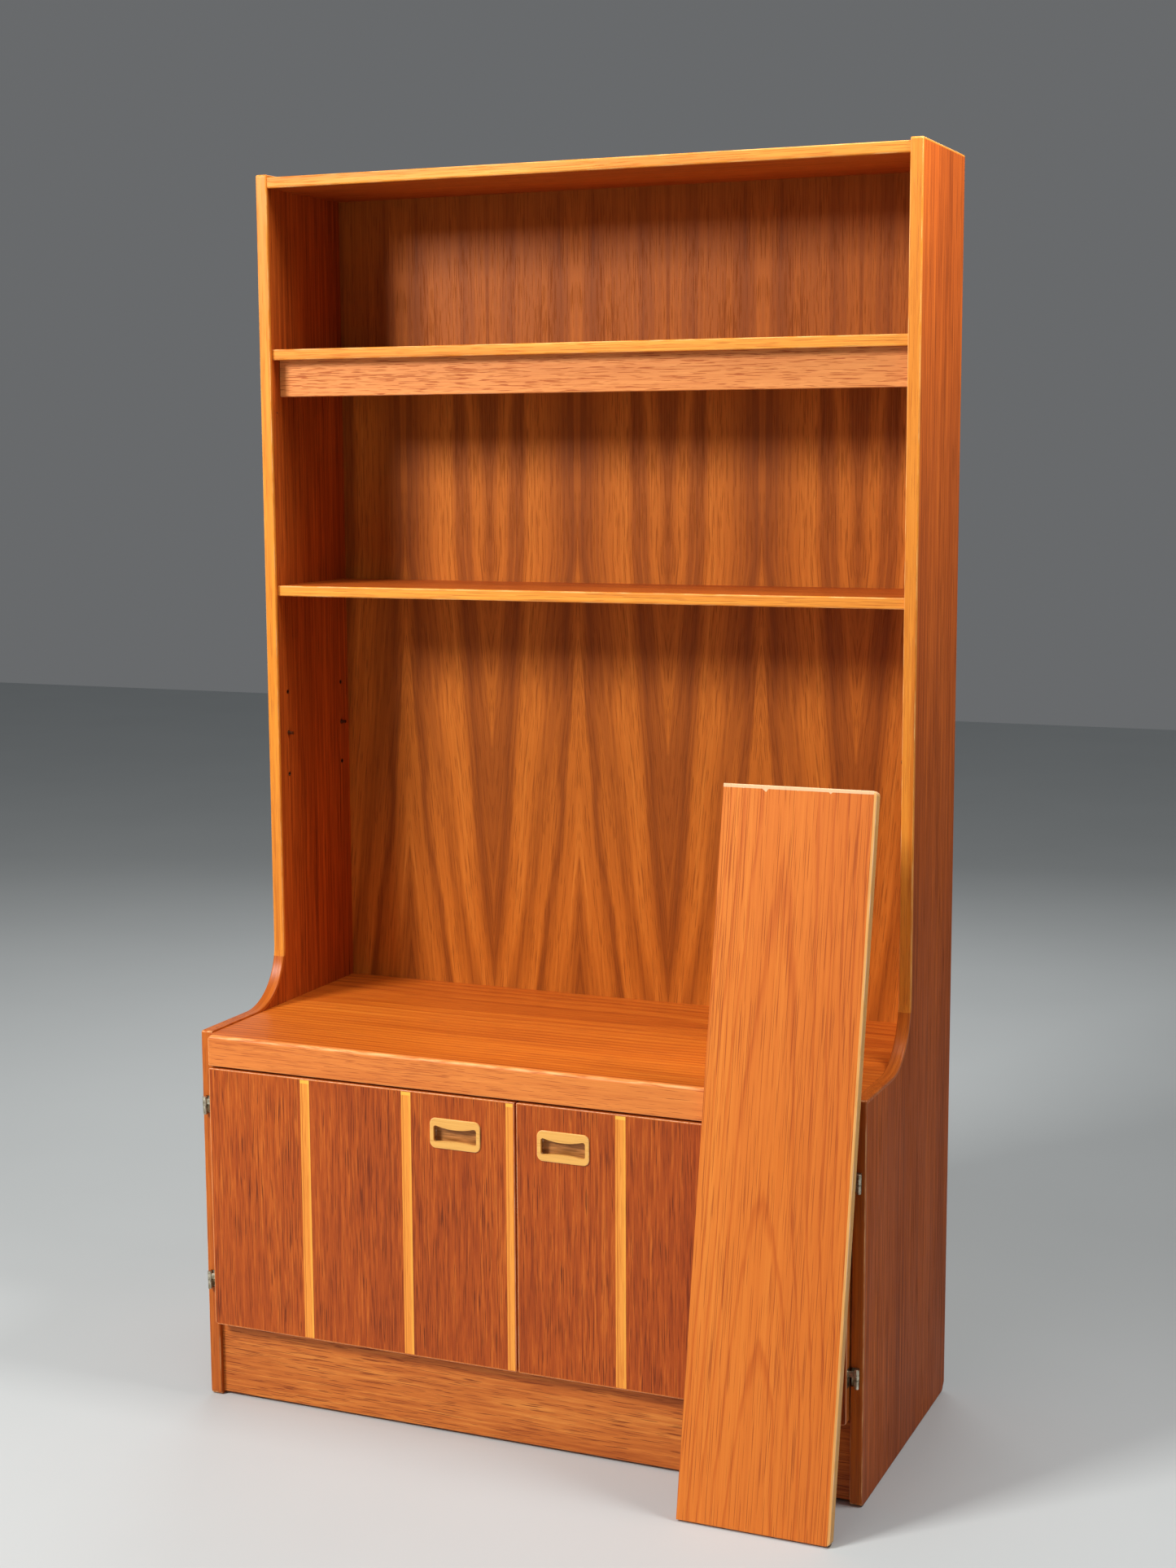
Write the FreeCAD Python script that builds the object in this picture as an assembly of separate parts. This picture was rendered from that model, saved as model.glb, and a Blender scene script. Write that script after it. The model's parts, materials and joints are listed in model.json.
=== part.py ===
import FreeCAD, Part
import math
import os

# A tall veneered wall unit: a shallow open bookcase that stands on a deeper
# cupboard with two hinged doors, and one loose shelf that leans on its front.
# Millimetres.  X runs to the right, Y to the back, Z up from the floor.
# "Depth" is always counted forwards from the back edges of the side panels.

Vec = FreeCAD.Vector
X_AXIS = Vec(1, 0, 0)
Y_AXIS = Vec(0, 1, 0)
Z_AXIS = Vec(0, 0, 1)
ORIGIN = Vec(0, 0, 0)

# ---------------------------------------------------------------- carcase size
WIDTH = 1020.0
HEIGHT = 1820.0
BASE_DEPTH = 440.0
UPPER_DEPTH = 226.0
STEP_TOP = 564.0
STEP_RADIUS = 88.0
SIDE_THICKNESS = 18.0
HALF_INSIDE = WIDTH / 2 - SIDE_THICKNESS

# ------------------------------------------------------------------- lippings
LIP = 5.0
LIP_ROUND = 2.0
TOP_LIP = 3.0
STEP_JOINT_Z = 634.0
FOOT_ROUND = 8.0
HEEL_CUT = 14.0
CORNER_ROUND = 3.5

# -------------------------------------------------------------------- shelves
SHELF_THICKNESS = 16.0
TOP_PANEL_Z = 1800.0
TOP_PANEL_DEPTH = 223.5
UPPER_SHELF_Z = 1548.0
UPPER_SHELF_DEPTH = 219.0
MIDDLE_SHELF_Z = 1193.5
MIDDLE_SHELF_DEPTH = 218.0
SHELF_LIP = 5.0
SHELF_ROUND = 2.5
PELMET_BOTTOM_Z = 1494.0
PELMET_DEPTH = 199.0
PELMET_THICKNESS = 16.0
PELMET_END_GAP = 0.8

# ----------------------------------------------------------------- back panels
BACK_RECESS = 1.0
BACK_THICKNESS = 4.0
BACK_FACE = BACK_RECESS + BACK_THICKNESS
REBATE_WIDTH = 8.0
BACK_FIT_GAP = 0.3
BACK_TOP_Z = 1812.0
BACK_JOINT_Z = 552.0
BACK_BOTTOM_Z = 100.0
NAIL_RADIUS = 0.8
NAIL_LENGTH = 18.0
NAIL_HEAD_RADIUS = 1.6
NAIL_HEAD_HEIGHT = 0.6
NAIL_INSET = 4.0

# -------------------------------------------------------------------- cupboard
WORKTOP_TOP = 561.0
WORKTOP_THICKNESS = 18.0
FRONT_DEPTH = 453.0
FASCIA_HEIGHT = 46.0
FASCIA_THICKNESS = 8.0
FASCIA_TOP_ROUND = 6.0
FASCIA_END_ROUND = 3.0
FASCIA_END_GAP = 0.5
RAIL_THICKNESS = 18.0
PLINTH_DEPTH = 432.0
PLINTH_THICKNESS = 18.0
PLINTH_CLEARANCE = 4.0
FLOOR_PANEL_Z = 115.0
FLOOR_PANEL_DEPTH = 434.0
CUPBOARD_SHELF_Z = 318.0
CUPBOARD_SHELF_DEPTH = 330.0
REAR_PLINTH_DEPTH = 60.0
INSIDE_GAP = 1.5

# ----------------------------------------------------------------------- doors
DOOR_BOTTOM = 118.0
DOOR_TOP = 511.5
DOOR_THICKNESS = 16.0
DOOR_BACK_DEPTH = FRONT_DEPTH - DOOR_THICKNESS
DOOR_OUTER_X = 490.6
LEFT_DOOR_INNER_X = 5.8
RIGHT_DOOR_INNER_X = 8.9
DOOR_LIP = 2.0
DOOR_FACING = 2.6
DOOR_EDGE_ROUND = 1.2
DOOR_CORNER_ROUND = 1.6
DOOR_FOOT_ROUND = 5.0
STRIP_WIDTH = 15.2
STRIP_PITCH = 165.0
STRIP_CENTRE_X = 1.0
MEETING_STRIP_WIDTH = 13.0

# ----------------------------------------------------------------------- pulls
PULL_WIDTH = 79.0
PULL_HEIGHT = 44.0
PULL_ROUND = 9.0
PULL_PROUD = 2.0
PULL_EDGE_ROUND = 1.2
PULL_SHOULDER = 2.5
PULL_SINK = 12.0
PULL_FIT_GAP = 0.15
PULL_Z = 455.0
LEFT_PULL_X = -86.0
RIGHT_PULL_X = 80.5
MOUTH_HALF_WIDTH = 33.5
MOUTH_TOP_END = 12.3
MOUTH_TOP_MIDDLE = 7.0
MOUTH_BOTTOM_END = -13.0
MOUTH_BOTTOM_MIDDLE = -10.4
MOUTH_ROUND = 3.5
LIP_OVERHANG = 5.0
POCKET_WIDTH = 71.0
POCKET_HEIGHT = 33.0
POCKET_ROUND = 7.0
POCKET_FLOOR = 11.5

# ---------------------------------------------------------------------- hinges
HINGE_X = 502.5
HINGE_DEPTH = 446.0
HINGE_HEIGHT = 27.0
HINGE_ZS = {"upper": 452.0, "lower": 182.5}
LOWER_KNUCKLE_RADIUS = 3.2
UPPER_KNUCKLE_RADIUS = 3.5
KNUCKLE_SPLIT = -0.8
KNUCKLE_GAP = 0.3
HINGE_PIN_RADIUS = 1.5
HINGE_PIN_CLEARANCE = 0.05
LEAF_THICKNESS = 1.2
LEAF_BACK_DEPTH = 404.0
CRANK_DEPTH = 436.0
LEAF_WEB = 2.0
DOOR_LEAF_FRONT = 451.0
DOOR_LEAF_BACK = 439.0
SCREW_HEAD_RADIUS = 2.9
SCREW_RADIUS = 1.4
SCREW_HEAD_HEIGHT = 1.5
SCREW_LENGTH = 13.0
CABINET_SCREW_DEPTHS = (412.0, 426.0)
DOOR_SCREW_OFFSET = 8.0

# ---------------------------------------------------------------- small pieces
SHELF_PIN_RADIUS = 2.5
SHELF_PIN_SINK = 9.0
SHELF_PIN_REACH = 8.0
PIN_COLLAR_RADIUS = 3.6
PIN_COLLAR_THICKNESS = 1.2
PIN_COLUMN_DEPTHS = (29.0, 196.0)
PIN_ROW_ZS = (917.0, 981.0, 1045.0)
LOADED_PIN_ROW_Z = 981.0
CUPBOARD_PIN_DEPTHS = (40.0, 300.0)
SPARE_HOLE_RADIUS = 1.5
SPARE_HOLE_DEPTH = 208.5
SPARE_HOLE_Z = 1470.0
DOWEL_RADIUS = 4.0
DOWEL_SINK = 12.0
DOWEL_REACH = 20.0
CATCH_WIDTH = 40.0
CATCH_HEIGHT = 12.0
CATCH_LENGTH = 16.0
CATCH_OFFSET = 34.0
CATCH_FRONT_DEPTH = 435.2
MAGNET_WIDTH = 26.0
MAGNET_HEIGHT = 5.0
MAGNET_LENGTH = 10.0
MAGNET_PROUD = 0.3
STRIKE_WIDTH = 34.0
STRIKE_HEIGHT = 11.0
STRIKE_THICKNESS = 1.0

# ----------------------------------------------------------------- loose shelf
LOOSE_LENGTH = 982.0
LOOSE_WIDTH = 213.0
LOOSE_LIP = 4.0
LOOSE_CORNER_ROUND = 7.0
LOOSE_EDGE_ROUND = 1.5
LOOSE_RIGHT_X = 506.0
LEAN_ANGLE = 10.5
LEAN_GAP = 0.4

# The loose shelf rests on the rounded top edge of the worktop's front, which
# sets how far out its foot stands, and so how deep the whole object is.  Its
# foot is rounded too, so the leaning shelf is let down a little to the floor.
LEAN = math.radians(LEAN_ANGLE)
FOOT_DROP = LOOSE_EDGE_ROUND * (math.sin(LEAN) + math.cos(LEAN) - 1)
TOUCH_DEPTH = FRONT_DEPTH - FASCIA_TOP_ROUND
TOUCH_Z = WORKTOP_TOP - FASCIA_TOP_ROUND + FOOT_DROP
STAND_OFF = FASCIA_TOP_ROUND + LEAN_GAP
LOOSE_HEEL_DEPTH = TOUCH_DEPTH + TOUCH_Z * math.tan(LEAN) + STAND_OFF / math.cos(LEAN)
FOOT_REACH = (
    (SHELF_THICKNESS - LOOSE_EDGE_ROUND) * math.cos(LEAN)
    + LOOSE_EDGE_ROUND * (1 - math.sin(LEAN))
)
OVERALL_DEPTH = LOOSE_HEEL_DEPTH + FOOT_REACH
BACK_Y = OVERALL_DEPTH / 2


# --------------------------------------------------------------------- helpers
def forward(depth):
    """Y of a place that lies this far in front of the back edges."""
    return BACK_Y - depth


def board(x0, x1, depth0, depth1, z0, z1):
    """A rectangular board between two corners."""
    return Part.makeBox(x1 - x0, depth1 - depth0, z1 - z0, Vec(x0, forward(depth1), z0))


def rod(start, direction, length, radius):
    return Part.makeCylinder(radius, length, start, direction)


def mirrored(shape):
    """The same piece on the other side of the unit."""
    return shape.mirror(ORIGIN, X_AXIS)


def near(a, b):
    return abs(a - b) < 0.01


def rounded(shape, radius, wanted):
    """Round the edges whose bounding box passes the test `wanted`."""
    edges = [edge for edge in shape.Edges if wanted(edge.BoundBox)]
    return shape.makeFillet(radius, edges)


def along_x(depth, z):
    """Test for an edge parallel to X at this depth and height."""
    y = forward(depth)

    def wanted(bb):
        flat_y = near(bb.YMin, y) and near(bb.YMax, y)
        flat_z = near(bb.ZMin, z) and near(bb.ZMax, z)
        return flat_y and flat_z

    return wanted


def on_front(depth):
    """Test for an edge that lies in the plane at this depth."""
    y = forward(depth)
    return lambda bb: near(bb.YMin, y) and near(bb.YMax, y)


def prism_from_front(wire, depth0, depth1):
    """Extrude an outline drawn in the XZ plane from depth0 forwards to depth1."""
    face = Part.Face(wire)
    face.translate(Vec(0, forward(depth0), 0))
    return face.extrude(Vec(0, depth0 - depth1, 0))


def rounded_rectangle(cx, cz, width, height, radius):
    """A rectangle with round corners, in the XZ plane."""
    block = Part.makeBox(width, 1.0, height, Vec(cx - width / 2, 0, cz - height / 2))
    block = block.makeFillet(radius, [e for e in block.Edges if near(e.BoundBox.YLength, 1.0)])
    face = [f for f in block.Faces if near(f.BoundBox.YLength, 0) and near(f.BoundBox.YMin, 0)][0]
    return face.OuterWire


def save(name, shape):
    shape.exportStep(os.path.join("parts", name + ".step"))


def group(solids):
    """Separate identical pieces that share one node."""
    return Part.makeCompound(solids)


# ---------------------------------------------------------------- side panels
def side_outline(inset, top):
    """The stepped profile of a side, in the YZ plane, `inset` behind its edges."""
    front = BASE_DEPTH - inset
    step = STEP_TOP - inset
    upper = UPPER_DEPTH - inset
    radius = STEP_RADIUS + inset
    centre_depth = UPPER_DEPTH + STEP_RADIUS
    centre_z = STEP_TOP + STEP_RADIUS
    slant = radius * math.sqrt(0.5)

    def at(depth, z):
        return Vec(0, forward(depth), z)

    edges = [
        Part.LineSegment(at(0, 0), at(front, 0)),
        Part.LineSegment(at(front, 0), at(front, step)),
        Part.LineSegment(at(front, step), at(centre_depth, step)),
        Part.Arc(at(centre_depth, step), at(centre_depth - slant, centre_z - slant), at(upper, centre_z)),
        Part.LineSegment(at(upper, centre_z), at(upper, top)),
        Part.LineSegment(at(upper, top), at(0, top)),
        Part.LineSegment(at(0, top), at(0, 0)),
    ]
    return Part.Wire([edge.toShape() for edge in edges])


def side_blank():
    """A whole left side, core and lippings together, with all its round edges."""
    blank = Part.Face(side_outline(0, HEIGHT)).extrude(Vec(SIDE_THICKNESS, 0, 0))
    blank.translate(Vec(-WIDTH / 2, 0, 0))
    blank = rounded(blank, FOOT_ROUND, along_x(BASE_DEPTH, 0))
    blank = rounded(blank, CORNER_ROUND, along_x(BASE_DEPTH, STEP_TOP))
    blank = rounded(blank, CORNER_ROUND, along_x(UPPER_DEPTH, HEIGHT))
    blank = rounded(blank, CORNER_ROUND, along_x(0, HEIGHT))
    heel = [edge for edge in blank.Edges if along_x(0, 0)(edge.BoundBox)]
    blank = blank.makeChamfer(HEEL_CUT, heel)

    def visible_long_edge(bb):
        on_a_face = near(bb.XLength, 0)
        at_back = near(bb.YMax, BACK_Y) and near(bb.YMin, BACK_Y)
        low = bb.ZMax < HEEL_CUT + 1 and bb.YMax > forward(BASE_DEPTH - FOOT_ROUND - 1)
        return on_a_face and not at_back and not low

    return rounded(blank, LIP_ROUND, visible_long_edge)


def fixing_holes():
    """Dowel places in the left side: (depth, z) of each, and each board's own pair."""
    shallow = (60.0, 175.0)
    deep = (80.0, 350.0)
    return {
        "top_panel": [(depth, TOP_PANEL_Z + SHELF_THICKNESS / 2) for depth in shallow],
        "upper_shelf": [(depth, UPPER_SHELF_Z + SHELF_THICKNESS / 2) for depth in shallow],
        "middle_shelf": [(depth, MIDDLE_SHELF_Z + SHELF_THICKNESS / 2) for depth in shallow],
        "worktop": [(depth, WORKTOP_TOP - WORKTOP_THICKNESS / 2) for depth in deep],
        "cupboard_floor": [(depth, FLOOR_PANEL_Z + SHELF_THICKNESS / 2) for depth in deep],
    }


def dowels(board_name):
    """The four dowels that hold one board between the sides."""
    left = []
    for depth, z in fixing_holes()[board_name]:
        start = Vec(-HALF_INSIDE - DOWEL_SINK, forward(depth), z)
        left.append(rod(start, X_AXIS, DOWEL_SINK + DOWEL_REACH, DOWEL_RADIUS))
    return left + [mirrored(dowel) for dowel in left]


def shelf_pin(depth, z):
    """A stud in the left side that carries one corner of a shelf."""
    start = Vec(-HALF_INSIDE - SHELF_PIN_SINK, forward(depth), z)
    stud = rod(start, X_AXIS, SHELF_PIN_SINK + SHELF_PIN_REACH, SHELF_PIN_RADIUS)
    collar = rod(Vec(-HALF_INSIDE, forward(depth), z), X_AXIS, PIN_COLLAR_THICKNESS, PIN_COLLAR_RADIUS)
    return stud.fuse(collar)


def cupboard_pin_places():
    z = CUPBOARD_SHELF_Z - SHELF_PIN_RADIUS
    return [(depth, z) for depth in CUPBOARD_PIN_DEPTHS]


def pin_holes():
    """The drilled holes of the left side, open ones and filled ones."""
    places = [(depth, z) for depth in PIN_COLUMN_DEPTHS for z in PIN_ROW_ZS]
    holes = []
    for depth, z in places + cupboard_pin_places():
        start = Vec(-HALF_INSIDE - SHELF_PIN_SINK, forward(depth), z)
        holes.append(rod(start, X_AXIS, SHELF_PIN_SINK + 1, SHELF_PIN_RADIUS))
    spare = Vec(-HALF_INSIDE - SHELF_PIN_SINK, forward(SPARE_HOLE_DEPTH), SPARE_HOLE_Z)
    holes.append(rod(spare, X_AXIS, SHELF_PIN_SINK + 1, SPARE_HOLE_RADIUS))
    return holes


def hinge_mortises(hinge_z):
    """Room in the left side for the cranked leaf of one hinge."""
    z0 = hinge_z - HINGE_HEIGHT / 2
    z1 = hinge_z + HINGE_HEIGHT / 2
    inner = -HALF_INSIDE
    notch = board(-HINGE_X - LEAF_WEB, inner + 1, CRANK_DEPTH, BASE_DEPTH + 1, z0, z1)
    seat = board(inner - LEAF_THICKNESS, inner + 1, LEAF_BACK_DEPTH, CRANK_DEPTH, z0, z1)
    return [notch, seat]


def side_pieces(nails):
    """The veneered panel of the left side and its solid edge lippings."""
    blank = side_blank()
    panel_top = HEIGHT - TOP_LIP
    core_prism = Part.Face(side_outline(LIP, panel_top)).extrude(Vec(SIDE_THICKNESS, 0, 0))
    core_prism.translate(Vec(-WIDTH / 2, 0, 0))
    edging = blank.cut(core_prism)
    rebate = board(
        -HALF_INSIDE - REBATE_WIDTH, -HALF_INSIDE + 1, -1, BACK_FACE,
        BACK_BOTTOM_Z - BACK_FIT_GAP, BACK_TOP_Z + BACK_FIT_GAP,
    )
    tools = [rebate] + pin_holes() + nails
    for name in fixing_holes():
        tools += dowels(name)
    mortises = []
    for hinge_z in HINGE_ZS.values():
        mortises += hinge_mortises(hinge_z)
        tools += cabinet_screws(hinge_z)
    panel = blank.common(core_prism).cut(tools + mortises)

    upper_front = UPPER_DEPTH - LIP
    base_front = BASE_DEPTH - LIP
    x0, x1 = -WIDTH / 2 - 1, -HALF_INSIDE + 1
    top_zone = board(x0, x1, -1, upper_front, panel_top, HEIGHT + 1)
    upper_zone = board(x0, x1, upper_front, BASE_DEPTH, STEP_JOINT_Z, HEIGHT + 1)
    step_zone = board(x0, x1, upper_front - 1, base_front, STEP_TOP - LIP - 1, STEP_JOINT_Z)
    base_zone = board(x0, x1, base_front, BASE_DEPTH + 1, -1, STEP_TOP + 1)
    return {
        "side_panel": panel,
        "top_lipping": edging.common(top_zone),
        "upper_lipping": edging.common(upper_zone),
        "step_lipping": edging.common(step_zone),
        "base_lipping": edging.common(base_zone).cut(mortises),
    }


# ------------------------------------------------------------ boards and rails
def lipped_board(name, z, depth):
    """A shelf between the sides: the board itself and its rounded front lipping."""
    core = board(-HALF_INSIDE, HALF_INSIDE, BACK_FACE, depth - SHELF_LIP, z, z + SHELF_THICKNESS)
    lipping = board(-HALF_INSIDE, HALF_INSIDE, depth - SHELF_LIP, depth, z, z + SHELF_THICKNESS)
    lipping = rounded(lipping, SHELF_ROUND, along_x(depth, z))
    lipping = rounded(lipping, SHELF_ROUND, along_x(depth, z + SHELF_THICKNESS))
    return core.cut(dowels(name)), lipping


def light_pelmet():
    """The rail that hangs below the upper shelf."""
    half = HALF_INSIDE - PELMET_END_GAP
    rail = board(-half, half, PELMET_DEPTH - PELMET_THICKNESS, PELMET_DEPTH, PELMET_BOTTOM_Z, UPPER_SHELF_Z)
    return rounded(rail, 1.5, along_x(PELMET_DEPTH, PELMET_BOTTOM_Z))


def worktop_board():
    """The cupboard's top, up to the back of its front fascia."""
    z0 = WORKTOP_TOP - WORKTOP_THICKNESS
    front = FRONT_DEPTH - FASCIA_THICKNESS
    core = board(-HALF_INSIDE, HALF_INSIDE, BACK_FACE, front, z0, WORKTOP_TOP)
    return core.cut(dowels("worktop"))


def worktop_fascia():
    """The deep front edge of the worktop, rounded along its top and at its ends."""
    half = HALF_INSIDE - FASCIA_END_GAP
    z0 = WORKTOP_TOP - FASCIA_HEIGHT
    front = FRONT_DEPTH
    fascia = board(-half, half, front - FASCIA_THICKNESS, front, z0, WORKTOP_TOP)

    def end_edge(bb):
        upright = bb.ZLength > FASCIA_HEIGHT / 2
        return upright and near(bb.YMin, forward(front)) and near(bb.YMax, forward(front))

    fascia = rounded(fascia, FASCIA_END_ROUND, end_edge)
    fascia = rounded(fascia, FASCIA_TOP_ROUND, along_x(front, WORKTOP_TOP))
    return rounded(fascia, LIP_ROUND, along_x(front, z0))


def worktop_rail():
    """The stiffening rail under the front of the worktop."""
    front = FRONT_DEPTH - FASCIA_THICKNESS
    z1 = WORKTOP_TOP - WORKTOP_THICKNESS
    return board(-HALF_INSIDE, HALF_INSIDE, front - RAIL_THICKNESS, front, WORKTOP_TOP - FASCIA_HEIGHT, z1)


def cupboard_floor():
    z1 = FLOOR_PANEL_Z + SHELF_THICKNESS
    core = board(-HALF_INSIDE, HALF_INSIDE, BACK_FACE, FLOOR_PANEL_DEPTH, FLOOR_PANEL_Z, z1)
    return rounded(core, 1.0, along_x(FLOOR_PANEL_DEPTH, z1)).cut(dowels("cupboard_floor"))


def cupboard_shelf():
    half = HALF_INSIDE - INSIDE_GAP
    z1 = CUPBOARD_SHELF_Z + SHELF_THICKNESS
    core = board(-half, half, BACK_FACE + INSIDE_GAP, CUPBOARD_SHELF_DEPTH, CUPBOARD_SHELF_Z, z1)
    core = rounded(core, SHELF_ROUND, along_x(CUPBOARD_SHELF_DEPTH, z1))
    return rounded(core, SHELF_ROUND, along_x(CUPBOARD_SHELF_DEPTH, CUPBOARD_SHELF_Z))


def plinth_front():
    back = PLINTH_DEPTH - PLINTH_THICKNESS
    rail = board(-HALF_INSIDE, HALF_INSIDE, back, PLINTH_DEPTH, PLINTH_CLEARANCE, FLOOR_PANEL_Z)
    return rounded(rail, 1.5, along_x(PLINTH_DEPTH, PLINTH_CLEARANCE))


def plinth_rear():
    back = REAR_PLINTH_DEPTH - PLINTH_THICKNESS
    return board(-HALF_INSIDE, HALF_INSIDE, back, REAR_PLINTH_DEPTH, PLINTH_CLEARANCE, FLOOR_PANEL_Z)


# ----------------------------------------------------------------- back panels
def nail(x, z):
    """A panel pin driven from behind, with its head on the back panel."""
    head_y = forward(BACK_RECESS)
    head = rod(Vec(x, head_y, z), Y_AXIS, NAIL_HEAD_HEIGHT, NAIL_HEAD_RADIUS)
    shank = rod(Vec(x, head_y - NAIL_LENGTH, z), Y_AXIS, NAIL_LENGTH, NAIL_RADIUS)
    return head.fuse(shank)


def spread(start, end, count):
    return [start + (end - start) * index / (count - 1) for index in range(count)]


def side_nails():
    """The nails of the left side's rebate."""
    x = -HALF_INSIDE - NAIL_INSET
    heights = spread(BACK_BOTTOM_Z + 30, BACK_JOINT_Z - 40, 4) + spread(BACK_JOINT_Z + 60, BACK_TOP_Z - 60, 8)
    return [nail(x, z) for z in heights]


def board_nails(z, count):
    """A row of nails into the back edge of a board at this height."""
    reach = HALF_INSIDE - 90
    return [nail(x, z) for x in spread(-reach, reach, count)]


def back_panel(z0, z1, nails):
    half = HALF_INSIDE + REBATE_WIDTH - BACK_FIT_GAP
    return board(-half, half, BACK_RECESS, BACK_FACE, z0, z1).cut(nails)


# ---------------------------------------------------------------------- hinges
def countersunk_screw(head_centre, direction):
    """A small countersunk screw whose flat head lies at head_centre."""
    head = Part.makeCone(SCREW_HEAD_RADIUS, SCREW_RADIUS, SCREW_HEAD_HEIGHT, head_centre, direction)
    shank = rod(head_centre, direction, SCREW_LENGTH, SCREW_RADIUS)
    return head.fuse(shank)


def cabinet_screws(hinge_z):
    """The two screws that hold the cranked leaf to the inside of the left side."""
    head_x = -HALF_INSIDE
    return [
        countersunk_screw(Vec(head_x, forward(depth), hinge_z), Vec(-1, 0, 0))
        for depth in CABINET_SCREW_DEPTHS
    ]


def door_screws(hinge_z):
    """The two screws that hold the straight leaf to the edge of the left door."""
    depth = (DOOR_LEAF_FRONT + DOOR_LEAF_BACK) / 2
    return [
        countersunk_screw(Vec(-DOOR_OUTER_X, forward(depth), hinge_z + offset), X_AXIS)
        for offset in (-DOOR_SCREW_OFFSET, DOOR_SCREW_OFFSET)
    ]


def hinge_pin(hinge_z):
    start = Vec(-HINGE_X, forward(HINGE_DEPTH), hinge_z - HINGE_HEIGHT / 2 + 1)
    return rod(start, Z_AXIS, HINGE_HEIGHT - 3, HINGE_PIN_RADIUS)


def cabinet_leaf(hinge_z):
    """The lower knuckle with its cranked leaf, for the left side."""
    z0 = hinge_z - HINGE_HEIGHT / 2
    z1 = hinge_z + HINGE_HEIGHT / 2
    split = hinge_z + KNUCKLE_SPLIT - KNUCKLE_GAP
    inner = -HALF_INSIDE
    axis = Vec(-HINGE_X, forward(HINGE_DEPTH), z0)
    knuckle = rod(axis, Z_AXIS, split - z0, LOWER_KNUCKLE_RADIUS)
    knuckle = rounded(knuckle, 0.5, lambda bb: near(bb.ZLength, 0))
    web_end = CRANK_DEPTH + LEAF_THICKNESS
    web = board(-HINGE_X - LEAF_WEB / 2, -HINGE_X + LEAF_WEB / 2, CRANK_DEPTH, HINGE_DEPTH, z0 + 1, split - 1)
    crank = board(-HINGE_X - LEAF_WEB / 2, inner, CRANK_DEPTH, web_end, z0, z1)
    plate = board(inner - LEAF_THICKNESS, inner, LEAF_BACK_DEPTH, web_end, z0, z1)
    leaf = knuckle.fuse([web, crank, plate])
    return leaf.cut([hinge_pin(hinge_z)] + cabinet_screws(hinge_z))


def door_leaf(hinge_z):
    """The capped upper knuckle with its leaf, for the left door."""
    z0 = hinge_z - HINGE_HEIGHT / 2
    z1 = hinge_z + HINGE_HEIGHT / 2
    split = hinge_z + KNUCKLE_SPLIT
    knuckle = rod(Vec(-HINGE_X, forward(HINGE_DEPTH), split), Z_AXIS, z1 - split, UPPER_KNUCKLE_RADIUS)
    knuckle = rounded(knuckle, 0.8, lambda bb: near(bb.ZLength, 0))
    edge = -DOOR_OUTER_X
    half_web = LEAF_WEB / 2
    web = board(-HINGE_X, edge, HINGE_DEPTH - half_web, HINGE_DEPTH + half_web, split + 3, z1 - 3)
    plate = board(edge, edge + LEAF_THICKNESS, DOOR_LEAF_BACK, DOOR_LEAF_FRONT, z0, z1)
    leaf = knuckle.fuse([web, plate])
    bore = rod(
        Vec(-HINGE_X, forward(HINGE_DEPTH), split - 1), Z_AXIS,
        HINGE_HEIGHT / 2 - KNUCKLE_SPLIT - 1, HINGE_PIN_RADIUS + HINGE_PIN_CLEARANCE,
    )
    return leaf.cut([bore] + door_screws(hinge_z))


def door_leaf_seat(hinge_z):
    z0 = hinge_z - HINGE_HEIGHT / 2
    z1 = hinge_z + HINGE_HEIGHT / 2
    edge = -DOOR_OUTER_X
    return board(edge - 1, edge + LEAF_THICKNESS, DOOR_LEAF_BACK, DOOR_LEAF_FRONT, z0, z1)


# ----------------------------------------------------------------------- doors
def pull_outline(x, shrink):
    width = PULL_WIDTH - 2 * shrink
    height = PULL_HEIGHT - 2 * shrink
    return rounded_rectangle(x, PULL_Z, width, height, PULL_ROUND - shrink)


def pull_mouth(x):
    """The waisted finger opening: both its long sides bow towards the middle."""
    left, right = x - MOUTH_HALF_WIDTH, x + MOUTH_HALF_WIDTH

    def at(px, dz):
        return Vec(px, 0, PULL_Z + dz)

    edges = [
        Part.Arc(at(left, MOUTH_TOP_END), at(x, MOUTH_TOP_MIDDLE), at(right, MOUTH_TOP_END)),
        Part.LineSegment(at(right, MOUTH_TOP_END), at(right, MOUTH_BOTTOM_END)),
        Part.Arc(at(right, MOUTH_BOTTOM_END), at(x, MOUTH_BOTTOM_MIDDLE), at(left, MOUTH_BOTTOM_END)),
        Part.LineSegment(at(left, MOUTH_BOTTOM_END), at(left, MOUTH_TOP_END)),
    ]
    wire = Part.Wire([edge.toShape() for edge in edges])
    proud = FRONT_DEPTH + PULL_PROUD
    mouth = prism_from_front(wire, proud - LIP_OVERHANG - 0.5, proud + 1)
    corners = [edge for edge in mouth.Edges if near(edge.BoundBox.XLength, 0) and near(edge.BoundBox.ZLength, 0)]
    return mouth.makeFillet(MOUTH_ROUND, corners)


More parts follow.
